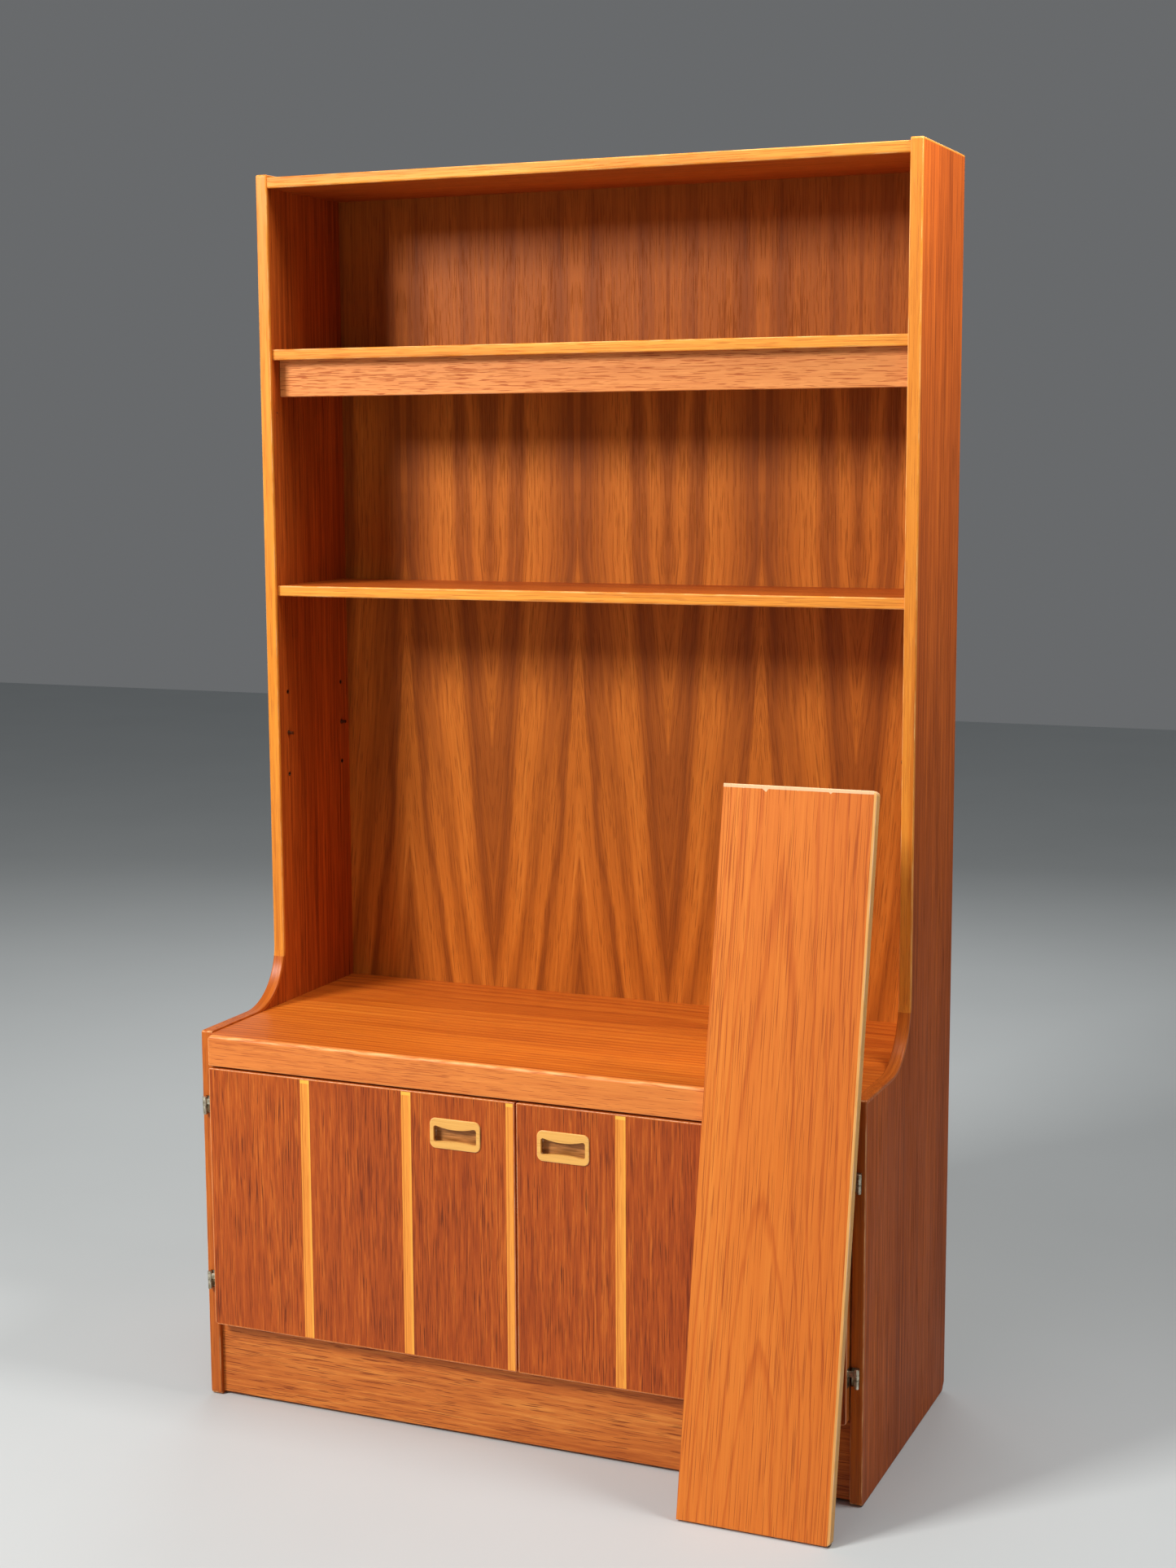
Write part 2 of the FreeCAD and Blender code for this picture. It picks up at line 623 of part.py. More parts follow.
def recessed_pull(x):
    """A solid wooden pull let into the door, with a pocket behind its lips."""
    proud = FRONT_DEPTH + PULL_PROUD
    flange = prism_from_front(pull_outline(x, 0), FRONT_DEPTH, proud)
    flange = rounded(flange, PULL_EDGE_ROUND, on_front(proud))
    stem_depth = FRONT_DEPTH - PULL_SINK
    stem = prism_from_front(pull_outline(x, PULL_SHOULDER), stem_depth, FRONT_DEPTH)
    pocket_z = PULL_Z - 0.5
    pocket_wire = rounded_rectangle(x, pocket_z, POCKET_WIDTH, POCKET_HEIGHT, POCKET_ROUND)
    floor = proud - POCKET_FLOOR
    pocket = prism_from_front(pocket_wire, floor, proud - LIP_OVERHANG)
    pocket = rounded(pocket, 3.0, on_front(floor))
    return flange.fuse(stem).cut([pocket, pull_mouth(x)])


def strip_spans(x0, x1):
    """X ranges of the pale strips on a door front between x0 and x1."""
    spans = []
    for index in range(-2, 3):
        centre = STRIP_CENTRE_X + index * STRIP_PITCH
        span = (centre - STRIP_WIDTH / 2, centre + STRIP_WIDTH / 2)
        if index == 0:
            span = (LEFT_DOOR_INNER_X - MEETING_STRIP_WIDTH, LEFT_DOOR_INNER_X - DOOR_LIP)
        if span[0] > x0 and span[1] < x1:
            spans.append(span)
    return spans


def facing_spans(x0, x1, strips):
    """X ranges of the dark panels that fill the front beside the strips."""
    spans = []
    start = x0
    for low, high in strips:
        spans.append((start, low))
        start = high
    if x1 - start > 1:
        spans.append((start, x1))
    return spans


def door_pieces(x0, x1, hinge_on_left, pull_x):
    """A flush door: core, front facings, strips, edge lippings and pull."""
    blank = board(x0, x1, DOOR_BACK_DEPTH, FRONT_DEPTH, DOOR_BOTTOM, DOOR_TOP)
    hinge_x = x0 if hinge_on_left else x1

    def through_edge(bb):
        return near(bb.YLength, DOOR_THICKNESS)

    def hinge_foot(bb):
        return through_edge(bb) and near(bb.XMin, hinge_x) and near(bb.ZMin, DOOR_BOTTOM)

    def other_corner(bb):
        at_corner_height = near(bb.ZMin, DOOR_TOP) or near(bb.ZMin, DOOR_BOTTOM)
        return through_edge(bb) and at_corner_height and not hinge_foot(bb)

    blank = rounded(blank, DOOR_CORNER_ROUND, other_corner)
    blank = rounded(blank, DOOR_FOOT_ROUND, hinge_foot)
    blank = rounded(blank, DOOR_EDGE_ROUND, on_front(FRONT_DEPTH))

    ix0, ix1 = x0 + DOOR_LIP, x1 - DOOR_LIP
    iz0, iz1 = DOOR_BOTTOM + DOOR_LIP, DOOR_TOP - DOOR_LIP
    facing_back = FRONT_DEPTH - DOOR_FACING
    inside = board(ix0, ix1, DOOR_BACK_DEPTH - 1, FRONT_DEPTH + 1, iz0, iz1)
    frame = blank.cut(inside)
    body = blank.common(inside)

    leaf_seats = []
    leaf_screws = []
    for hinge_z in HINGE_ZS.values():
        seat = door_leaf_seat(hinge_z)
        screws = door_screws(hinge_z)
        leaf_seats.append(seat if hinge_on_left else mirrored(seat))
        leaf_screws += screws if hinge_on_left else [mirrored(screw) for screw in screws]

    mortise = prism_from_front(
        pull_outline(pull_x, PULL_SHOULDER - PULL_FIT_GAP), FRONT_DEPTH - PULL_SINK, FRONT_DEPTH + 1
    )
    core = body.common(board(x0, x1, DOOR_BACK_DEPTH, facing_back, DOOR_BOTTOM, DOOR_TOP))
    core = core.cut([mortise] + leaf_screws)
    strips = strip_spans(x0, x1)
    facings = facing_spans(ix0, ix1, strips)

    def front_layer(span):
        slab = board(span[0], span[1], facing_back, FRONT_DEPTH + 1, DOOR_BOTTOM, DOOR_TOP)
        return body.common(slab).cut([mortise])

    def lip(lx0, lx1, lz0, lz1):
        zone = board(lx0, lx1, DOOR_BACK_DEPTH - 1, FRONT_DEPTH + 1, lz0, lz1)
        return frame.common(zone).cut(leaf_seats + leaf_screws)

    lippings = [
        lip(x0, ix0, DOOR_BOTTOM, DOOR_TOP),
        lip(ix1, x1, DOOR_BOTTOM, DOOR_TOP),
        lip(ix0, ix1, DOOR_BOTTOM, iz0),
        lip(ix0, ix1, iz1, DOOR_TOP),
    ]
    return {
        "core": core,
        "facings": group([front_layer(span) for span in facings]),
        "strips": group([front_layer(span) for span in strips]),
        "edge_lippings": group(lippings),
        "pull": recessed_pull(pull_x),
        "hinge_screws": group(leaf_screws),
    }


# --------------------------------------------------------------------- catches
def catch_centres():
    return {"left": LEFT_DOOR_INNER_X - CATCH_OFFSET, "right": RIGHT_DOOR_INNER_X + CATCH_OFFSET}


def catch_parts(centre_x):
    """A magnetic catch under the worktop rail: its housing and its magnet."""
    z1 = WORKTOP_TOP - FASCIA_HEIGHT
    z0 = z1 - CATCH_HEIGHT
    front = CATCH_FRONT_DEPTH
    half = CATCH_WIDTH / 2
    housing = board(centre_x - half, centre_x + half, front - CATCH_LENGTH, front, z0, z1)
    housing = rounded(housing, 1.5, lambda bb: near(bb.YLength, CATCH_LENGTH) and near(bb.ZMin, z0))
    middle = (z0 + z1) / 2 - 1
    half_magnet = MAGNET_WIDTH / 2
    magnet = board(
        centre_x - half_magnet, centre_x + half_magnet, front - MAGNET_LENGTH, front + MAGNET_PROUD,
        middle - MAGNET_HEIGHT / 2, middle + MAGNET_HEIGHT / 2,
    )
    return housing.cut(magnet), magnet


def strike_plate(centre_x):
    """The steel plate on the back of a door that the magnet holds."""
    z1 = WORKTOP_TOP - FASCIA_HEIGHT - CATCH_HEIGHT / 2 + STRIKE_HEIGHT / 2 - 1
    z1 = min(z1, DOOR_TOP - DOOR_LIP)
    half = STRIKE_WIDTH / 2
    back = DOOR_BACK_DEPTH - STRIKE_THICKNESS
    plate = board(centre_x - half, centre_x + half, back, DOOR_BACK_DEPTH, z1 - STRIKE_HEIGHT, z1)
    return rounded(plate, 1.5, lambda bb: near(bb.YLength, STRIKE_THICKNESS))


# ----------------------------------------------------------------- loose shelf
def loose_shelf_pieces():
    """The spare shelf, stood on its end and leant on the worktop's front edge."""
    x1 = LOOSE_RIGHT_X
    x0 = x1 - LOOSE_WIDTH
    heel = LOOSE_HEEL_DEPTH
    blank = board(x0, x1, heel, heel + SHELF_THICKNESS, 0, LOOSE_LENGTH)
    blank = rounded(
        blank, LOOSE_CORNER_ROUND,
        lambda bb: near(bb.YLength, SHELF_THICKNESS) and near(bb.XMin, x1),
    )

    def lipped_face_edge(bb):
        in_face = near(bb.YLength, 0)
        inner_side = near(bb.XMin, x0)
        ends = near(bb.ZLength, 0)
        return in_face and not inner_side and not ends

    blank = rounded(blank, LOOSE_EDGE_ROUND, lipped_face_edge)
    core_zone = board(x0, x1 - LOOSE_LIP, heel, heel + SHELF_THICKNESS, 0, LOOSE_LENGTH)
    pieces = {"loose_shelf_board": blank.common(core_zone), "loose_shelf_lipping": blank.cut(core_zone)}
    for shape in pieces.values():
        shape.rotate(Vec(0, forward(heel), 0), X_AXIS, -LEAN_ANGLE)
        shape.translate(Vec(0, 0, -FOOT_DROP))
    return pieces


# ---------------------------------------------------------------- build it all
def build():
    os.makedirs("parts", exist_ok=True)

    left_nails = side_nails()
    side_nail_group = left_nails + [mirrored(one) for one in left_nails]
    upper_rows = board_nails(TOP_PANEL_Z + SHELF_THICKNESS / 2, 6)
    upper_rows += board_nails(UPPER_SHELF_Z + SHELF_THICKNESS / 2, 5)
    upper_rows += board_nails(MIDDLE_SHELF_Z + SHELF_THICKNESS / 2, 5)
    upper_rows += board_nails(WORKTOP_TOP - 5, 6)
    lower_rows = board_nails(WORKTOP_TOP - WORKTOP_THICKNESS + 4, 6)
    lower_rows += board_nails(FLOOR_PANEL_Z + SHELF_THICKNESS / 2, 6)
    nails = side_nail_group + upper_rows + lower_rows

    for name, piece in side_pieces(left_nails).items():
        save("left_" + name, piece)
        save("right_" + name, mirrored(piece))

    boards = {
        "top_panel": (TOP_PANEL_Z, TOP_PANEL_DEPTH),
        "upper_shelf": (UPPER_SHELF_Z, UPPER_SHELF_DEPTH),
        "middle_shelf": (MIDDLE_SHELF_Z, MIDDLE_SHELF_DEPTH),
    }
    for name, (z, depth) in boards.items():
        core, lipping = lipped_board(name, z, depth)
        save(name, core.cut(upper_rows))
        save(name + "_lipping", lipping)

    save("light_pelmet", light_pelmet())
    save("worktop", worktop_board().cut(upper_rows + lower_rows))
    save("worktop_fascia", worktop_fascia())
    save("worktop_front_rail", worktop_rail())
    save("cupboard_floor", cupboard_floor().cut(lower_rows))
    save("cupboard_shelf", cupboard_shelf())
    save("plinth_front", plinth_front())
    save("plinth_rear", plinth_rear())
    save("upper_back_panel", back_panel(BACK_JOINT_Z + BACK_FIT_GAP, BACK_TOP_Z, nails))
    save("lower_back_panel", back_panel(BACK_BOTTOM_Z, BACK_JOINT_Z, nails))
    save("back_panel_nails", group(nails))

    all_dowels = []
    for name in fixing_holes():
        all_dowels += dowels(name)
    save("carcase_dowels", group(all_dowels))

    left_pins = [shelf_pin(depth, LOADED_PIN_ROW_Z) for depth in PIN_COLUMN_DEPTHS]
    save("shelf_pins", group(left_pins + [mirrored(pin) for pin in left_pins]))
    low_pins = [shelf_pin(depth, z) for depth, z in cupboard_pin_places()]
    save("cupboard_shelf_pins", group(low_pins + [mirrored(pin) for pin in low_pins]))

    cabinet_screw_group = []
    pin_group = []
    for place, hinge_z in HINGE_ZS.items():
        leaf = cabinet_leaf(hinge_z)
        save("left_" + place + "_hinge_cabinet_leaf", leaf)
        save("right_" + place + "_hinge_cabinet_leaf", mirrored(leaf))
        leaf = door_leaf(hinge_z)
        save("left_" + place + "_hinge_door_leaf", leaf)
        save("right_" + place + "_hinge_door_leaf", mirrored(leaf))
        screws = cabinet_screws(hinge_z)
        pin = hinge_pin(hinge_z)
        cabinet_screw_group += screws + [mirrored(screw) for screw in screws]
        pin_group += [pin, mirrored(pin)]
    save("cabinet_hinge_screws", group(cabinet_screw_group))
    save("hinge_pins", group(pin_group))

    doors = {
        "left_door": (-DOOR_OUTER_X, LEFT_DOOR_INNER_X, True, LEFT_PULL_X),
        "right_door": (RIGHT_DOOR_INNER_X, DOOR_OUTER_X, False, RIGHT_PULL_X),
    }
    for door, layout in doors.items():
        for name, piece in door_pieces(*layout).items():
            save(door + "_" + name, piece)

    housings = []
    magnets = []
    for side, centre_x in catch_centres().items():
        housing, magnet = catch_parts(centre_x)
        housings.append(housing)
        magnets.append(magnet)
        save(side + "_door_strike_plate", strike_plate(centre_x))
    save("catch_housings", group(housings))
    save("catch_magnets", group(magnets))

    for name, piece in loose_shelf_pieces().items():
        save(name, piece)


build()
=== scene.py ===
import json
import math

import bmesh
import bpy
from mathutils import Matrix, Vector


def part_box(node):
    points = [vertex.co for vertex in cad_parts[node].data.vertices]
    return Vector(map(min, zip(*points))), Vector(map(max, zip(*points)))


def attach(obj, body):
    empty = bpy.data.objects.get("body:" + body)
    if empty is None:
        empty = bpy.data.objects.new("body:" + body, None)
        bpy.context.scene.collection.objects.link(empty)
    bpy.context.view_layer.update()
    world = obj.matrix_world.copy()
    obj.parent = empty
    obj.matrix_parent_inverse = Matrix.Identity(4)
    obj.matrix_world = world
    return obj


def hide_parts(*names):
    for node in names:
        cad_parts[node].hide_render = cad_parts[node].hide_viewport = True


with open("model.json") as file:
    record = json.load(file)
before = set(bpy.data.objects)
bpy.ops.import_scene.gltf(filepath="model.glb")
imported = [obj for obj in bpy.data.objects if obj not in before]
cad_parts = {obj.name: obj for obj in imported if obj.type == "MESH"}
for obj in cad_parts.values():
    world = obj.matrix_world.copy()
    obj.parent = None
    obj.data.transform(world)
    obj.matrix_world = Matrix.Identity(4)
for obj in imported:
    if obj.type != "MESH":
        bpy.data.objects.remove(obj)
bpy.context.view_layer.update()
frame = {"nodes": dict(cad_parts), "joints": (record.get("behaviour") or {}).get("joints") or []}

# The looks of a tall veneered wall unit with a cupboard base.  Metres, in the
# row frame: X to the right, Y towards the wall, Z up from the floor.
nodes = frame["nodes"]
SIDES = ("left", "right")

# ---------------------------------------------------------------- frame places
side_low, side_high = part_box("right_side_panel")
BACK_Y = side_high.y
OUTER_X = side_high.x
DOOR_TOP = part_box("left_door_edge_lippings")[1].z
UPPER_SHELF_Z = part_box("upper_shelf")[0].z
INNER_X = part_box("upper_shelf")[1].x
DOOR_FRONT_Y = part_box("left_door_facings")[0].y
STEP_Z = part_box("left_base_lipping")[1].z
LOOSE_TOP_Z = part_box("loose_shelf_lipping")[1].z

# The leaning shelf is lifted away square to its own face, which gives its lean.
slide = next(joint for joint in frame["joints"] if joint["type"] == "slide")
LEAN = math.atan2(slide["axis"][2], -slide["axis"][1])


def forward(depth):
    """Y of a place that lies this far in front of the side panels' back edges."""
    return BACK_Y - depth


# Places that the boxes of whole nodes can't give.
STRIP_PITCH = 0.165
STRIP_CENTRE = 0.001
STRIP_HALF = 0.0076
STEP_RADIUS = 0.088
STEP_CENTRE_Y = forward(0.314)
STEP_CENTRE_Z = 0.652
PIN_ROW_Z = 0.981
PIN_PITCH = 0.064
PIN_DEPTHS = (0.029, 0.196)
VENEER_JOINT_DEPTH = 0.25


# --------------------------------------------------------------- shader helper
def srgb(red, green, blue):
    """The linear colour of an 8-bit one."""
    def linear(value):
        value /= 255
        return value / 12.92 if value < 0.04045 else ((value + 0.055) / 1.055) ** 2.4
    return (linear(red), linear(green), linear(blue), 1.0)


class Shader:
    """A node material that is put together by short calls."""

    def __init__(self, name):
        self.material = bpy.data.materials.new(name)
        self.material.use_nodes = True
        self.tree = self.material.node_tree
        self.bsdf = self.tree.nodes["Principled BSDF"]

    def feed(self, socket, value):
        if isinstance(value, bpy.types.NodeSocket):
            self.tree.links.new(value, socket)
        else:
            socket.default_value = value

    def node(self, kind, settings=None, **inputs):
        node = self.tree.nodes.new("ShaderNode" + kind)
        for key, value in (settings or {}).items():
            setattr(node, key, value)
        for key, value in inputs.items():
            self.feed(node.inputs[key.replace("_", " ")], value)
        return node

    def math(self, operation, *values, clamp=False):
        node = self.tree.nodes.new("ShaderNodeMath")
        node.operation = operation
        node.use_clamp = clamp
        for socket, value in zip(node.inputs, values):
            self.feed(socket, value)
        return node.outputs[0]

    def step(self, value, start, end):
        """0 up to start, 1 beyond end, and smooth between; start may be the larger."""
        node = self.node("MapRange", {"interpolation_type": "SMOOTHSTEP"}, Value=value)
        node.inputs["From Min"].default_value = min(start, end)
        node.inputs["From Max"].default_value = max(start, end)
        rising = node.outputs[0]
        return rising if start < end else self.math("SUBTRACT", 1.0, rising)

    def distance(self, first, second):
        """The length of a step that goes so far one way and so far square to it."""
        squares = [self.math("MULTIPLY", way, way) for way in (first, second)]
        return self.math("SQRT", self.math("ADD", *squares))

    def vector(self, x, y, z):
        return self.node("CombineXYZ", X=x, Y=y, Z=z).outputs[0]

    def split(self, vector):
        return self.node("SeparateXYZ", Vector=vector).outputs

    def scaled(self, vector, scale, offset=(0, 0, 0)):
        node = self.tree.nodes.new("ShaderNodeMapping")
        self.feed(node.inputs["Vector"], vector)
        node.inputs["Scale"].default_value = scale
        node.inputs["Location"].default_value = offset
        return node.outputs[0]

    def noise(self, vector, detail=2.0, roughness=0.5):
        node = self.node("TexNoise", Vector=vector, Scale=1.0, Detail=detail, Roughness=roughness)
        return node.outputs[0]

    def ramp(self, value, stops):
        node = self.tree.nodes.new("ShaderNodeValToRGB")
        self.feed(node.inputs[0], value)
        points = node.color_ramp.elements
        points[0].position, points[0].color = stops[0]
        points[1].position, points[1].color = stops[-1]
        for position, colour in stops[1:-1]:
            point = points.new(position)
            point.color = colour
        return node.outputs[0]

    def mix(self, factor, first, second):
        node = self.tree.nodes.new("ShaderNodeMix")
        node.data_type = "RGBA"
        self.feed(node.inputs[0], factor)
        self.feed(node.inputs[6], first)
        self.feed(node.inputs[7], second)
        return node.outputs[2]

    def edge_mask(self):
        """1 on rounded edges, where the surface faces no single axis."""
        normal = self.split(self.node("TexCoord").outputs["Normal"])
        sizes = [self.math("ABSOLUTE", part) for part in normal]
        largest = self.math("MAXIMUM", self.math("MAXIMUM", sizes[0], sizes[1]), sizes[2])
        return self.step(self.math("SUBTRACT", 1.0, largest), 0.03, 0.16)

    def place(self):
        return self.node("TexCoord").outputs["Object"]

    def bump(self, height, distance):
        node = self.node("Bump", Height=height, Distance=distance, Strength=1.0)
        self.feed(self.bsdf.inputs["Normal"], node.outputs[0])


# -------------------------------------------------------------------- the wood
# Which axes run along the grain, across the visible face and into the board.
GRAIN_AXES = {
    "side": "ZYX",
    "front_upright": "ZXY",
    "front_level": "XZY",
    "shelf": "XYZ",
    "end": "YXZ",
}


def round_the_step(shader):
    """Coordinates along and across the concave step, in place of depth and height."""
    x, y, z = shader.split(shader.place())
    ahead = shader.math("SUBTRACT", STEP_CENTRE_Y, y)
    above = shader.math("SUBTRACT", STEP_CENTRE_Z, z)
    turned = shader.math("MULTIPLY", shader.math("ARCTAN2", above, ahead), STEP_RADIUS)
    return shader.vector(turned, x, shader.distance(ahead, above))


def grain_space(shader, lay, shift=(0, 0, 0), tilt=0.0):
    """Object coordinates turned so that X runs along the grain."""
    if lay == "step":
        return shader.scaled(round_the_step(shader), (1, 1, 1), shift)
    place = shader.place()
    if tilt:
        turn = shader.tree.nodes.new("ShaderNodeMapping")
        turn.inputs["Rotation"].default_value = (tilt, 0, 0)
        shader.feed(turn.inputs["Vector"], place)
        place = turn.outputs[0]
    parts = dict(zip("XYZ", shader.split(place)))
    turned = shader.vector(*(parts[axis] for axis in GRAIN_AXES[lay]))
    return shader.scaled(turned, (1, 1, 1), shift)


def book_matched(shader, space, leaf, start, lean, knee):
    """Fold the space so that neighbouring veneer leaves mirror each other.

    Below the height `knee` the figure of each leaf leans, so that it meets its
    mirror image in upright and upturned wedges.
    """
    along, across, through = shader.split(space)
    folded = shader.math("PINGPONG", shader.math("SUBTRACT", across, start), leaf)
    below = shader.math("MINIMUM", shader.math("SUBTRACT", along, knee), 0.0)
    folded = shader.math("MULTIPLY_ADD", below, -lean, folded)
    return shader.vector(along, folded, through)


def growth_rings(shader, space, centre, depth, climb, spacing, wander, line=(0.25, 0.88)):
    """Cathedral figure: a flat cut through the rings of a slightly bent log."""
    along, across, _ = shader.split(space)
    bend = shader.noise(shader.scaled(space, (1.6, 3.0, 3.0)), detail=2.0)
    sway = shader.math("MULTIPLY", shader.math("SUBTRACT", bend, 0.5), wander)
    sideways = shader.math("ADD", shader.math("SUBTRACT", across, centre), sway)
    hump = shader.noise(shader.scaled(space, (0.9, 0.3, 0.3), (7, 3, 1)), detail=1.0)
    sunk = shader.math("MULTIPLY_ADD", along, climb, depth)
    sunk = shader.math("MULTIPLY_ADD", shader.math("SUBTRACT", hump, 0.5), wander, sunk)
    radius = shader.distance(sideways, sunk)
    ragged = shader.noise(shader.scaled(space, (9, 160, 160)), detail=3.0)
    count = shader.math("MULTIPLY_ADD", ragged, 0.35, shader.math("DIVIDE", radius, spacing))
    within = shader.math("FRACT", count)
    rise = shader.step(within, *line)
    fall = shader.step(within, 0.9, 1.0)
    return shader.math("MULTIPLY", rise, shader.math("SUBTRACT", 1.0, fall))


# Oil soaks in and deepens every tone, the blue part of it most.
OIL = (1.0, 0.84, 0.34)


def oiled(rgb):
    return tuple(part * oil for part, oil in zip(srgb(*rgb), OIL)) + (1.0,)


def wood(
    name, lay, tones, shift=(0, 0, 0), tilt=0.0, grain=(2.8, 170), streaks=0.5, blotch=0.35,
    match=None, bands=None, rings=None, ring_depth=0.25, pores=0.5, pore_colour=(90, 38, 14),
    pore_length=1.0, wear_and_highlight=0.5, wear_and_highlight_colour=(250, 205, 160), marks=None,
    roughness=0.46, coat=0.03, gloss=0.25,
):
    """A veneered or solid wood: figure, streaks, pores, pale rounded edges (partly real wear, partly
    painted highlight) and a thin oil finish.

    The tones run from dark to pale.  Bands add a figure of their own to the tone, and
    marks paint over the finished colour; both are functions from the next section.
    """
    shader = Shader(name)
    space = grain_space(shader, lay, shift, tilt)
    if match:
        space = book_matched(shader, space, **match)
    broad = shader.noise(shader.scaled(space, (0.9, 9, 9), (3, 1, 4)), detail=2.0)
    long_way, cross_way = grain
    fine = shader.scaled(space, (long_way, cross_way, cross_way), (5, 9, 2))
    fine = shader.noise(fine, detail=5.0, roughness=0.62)
    hair = shader.scaled(space, (long_way * 4, cross_way * 6, cross_way * 6))
    hair = shader.noise(hair, detail=2.0, roughness=0.6)
    tone = shader.math("MULTIPLY_ADD", shader.math("SUBTRACT", broad, 0.5), blotch * 2, 0.5)
    tone = shader.math("MULTIPLY_ADD", shader.math("SUBTRACT", fine, 0.5), streaks * 2, tone)
    tone = shader.math("MULTIPLY_ADD", shader.math("SUBTRACT", hair, 0.5), streaks * 0.7, tone)
    height = shader.math("MULTIPLY", hair, 0.4)
    if rings:
        figure = growth_rings(shader, space, **rings)
        tone = shader.math("MULTIPLY_ADD", figure, -ring_depth, shader.math("ADD", tone, ring_depth * 0.35))
        height = shader.math("MULTIPLY_ADD", figure, -0.25, height)
    if bands:
        tone = shader.math("ADD", tone, bands(shader, space))
    last = len(tones) - 1
    colour = shader.ramp(tone, [(0.12 + 0.76 * i / last, oiled(rgb)) for i, rgb in enumerate(tones)])

    dashes = shader.noise(shader.scaled(space, (18 / pore_length, 820, 820), (1, 6, 8)), detail=1.0)
    crowd = shader.noise(shader.scaled(space, (2.4, 22, 22), (8, 2, 6)), detail=2.0)
    gate = shader.math("MULTIPLY_ADD", crowd, -0.22, 0.70)
    pore = shader.step(shader.math("SUBTRACT", dashes, gate), 0.0, 0.07)
    colour = shader.mix(shader.math("MULTIPLY", pore, pores), colour, oiled(pore_colour))
    height = shader.math("MULTIPLY_ADD", pore, -0.7, height)

    if marks:
        colour = marks(shader, colour)
    # Pale patches on the rounded edges: partly real wear, partly painted highlight where light catches the
    # roundings.
    pale_edge_noise = shader.noise(shader.scaled(space, (30, 240, 240), (2, 2, 2)), detail=3.0)
    edge = shader.edge_mask()
    wear_and_highlight_mask = shader.math("MULTIPLY", edge, shader.step(pale_edge_noise, 0.62 - 0.5 * wear_and_highlight, 0.72))
    colour = shader.mix(shader.math("MULTIPLY", wear_and_highlight_mask, min(1.0, wear_and_highlight * 1.4)), colour, srgb(*wear_and_highlight_colour))
    shader.feed(shader.bsdf.inputs["Base Color"], colour)

    rough = shader.math("MULTIPLY_ADD", pore, 0.18, roughness)
    smear = shader.noise(shader.scaled(space, (5, 11, 11), (4, 4, 4)), detail=3.0)
    rough = shader.math("MULTIPLY_ADD", shader.math("SUBTRACT", smear, 0.5), 0.22, rough)
    rough = shader.math("MULTIPLY_ADD", wear_and_highlight_mask, 0.15, rough, clamp=True)
    shader.feed(shader.bsdf.inputs["Roughness"], rough)
    shader.bsdf.inputs["Specular IOR Level"].default_value = gloss
    shader.bsdf.inputs["Coat Weight"].default_value = coat
    shader.bsdf.inputs["Coat Roughness"].default_value = 0.28
    shader.bump(height, 0.00018)
    return shader.material


# ------------------------------------------------------------- the other stuff
def aged_metal(name, bright, dull, dark, roughness, metallic=1.0):
    """Old brass or steel: dulled in cloudy patches, spotted dark, and rubbed bright on its edges."""
    shader = Shader(name)
    place = shader.place()
    cloud = shader.noise(shader.scaled(place, (160, 160, 160)), detail=4.0)
    spots = shader.noise(shader.scaled(place, (900, 900, 900)), detail=2.0)
    tarnish = shader.step(cloud, 0.35, 0.65)
    colour = shader.mix(tarnish, srgb(*bright), srgb(*dull))
    colour = shader.mix(shader.step(spots, 0.58, 0.72), colour, srgb(*dark))
    colour = shader.mix(shader.math("MULTIPLY", shader.edge_mask(), 0.55), colour, srgb(*bright))
    shader.feed(shader.bsdf.inputs["Base Color"], colour)
    rough = shader.math("MULTIPLY_ADD", tarnish, 0.2, roughness)
    shader.feed(shader.bsdf.inputs["Roughness"], rough)
    shader.bsdf.inputs["Metallic"].default_value = metallic
    shader.bump(spots, 0.00004)
    return shader.material


def moulded_plastic(name, light, dark):
    shader = Shader(name)
    place = shader.place()
    grit = shader.noise(shader.scaled(place, (1400, 1400, 1400)), detail=2.0)
    cloud = shader.noise(shader.scaled(place, (60, 60, 60)), detail=3.0)
    colour = shader.mix(cloud, srgb(*dark), srgb(*light))
    shader.feed(shader.bsdf.inputs["Base Color"], colour)
    shader.feed(shader.bsdf.inputs["Roughness"], shader.math("MULTIPLY_ADD", grit, 0.25, 0.4))
    shader.bump(grit, 0.00005)
    return shader.material


def painted_floor(name):
    shader = Shader(name)
    place = shader.place()
    cloud = shader.noise(shader.scaled(place, (1.5, 1.5, 1.5)), detail=4.0)
    grit = shader.noise(shader.scaled(place, (300, 300, 300)), detail=2.0)
    colour = shader.mix(cloud, srgb(194, 199, 200), srgb(202, 207, 208))
    shader.feed(shader.bsdf.inputs["Base Color"], colour)
    shader.feed(shader.bsdf.inputs["Roughness"], shader.math("MULTIPLY_ADD", grit, 0.15, 0.6))
    return shader.material


def give(material, *names):
    """Put one material on whole CAD nodes."""
    for name in names:
        for slot in nodes[name].material_slots:
            slot.material = material


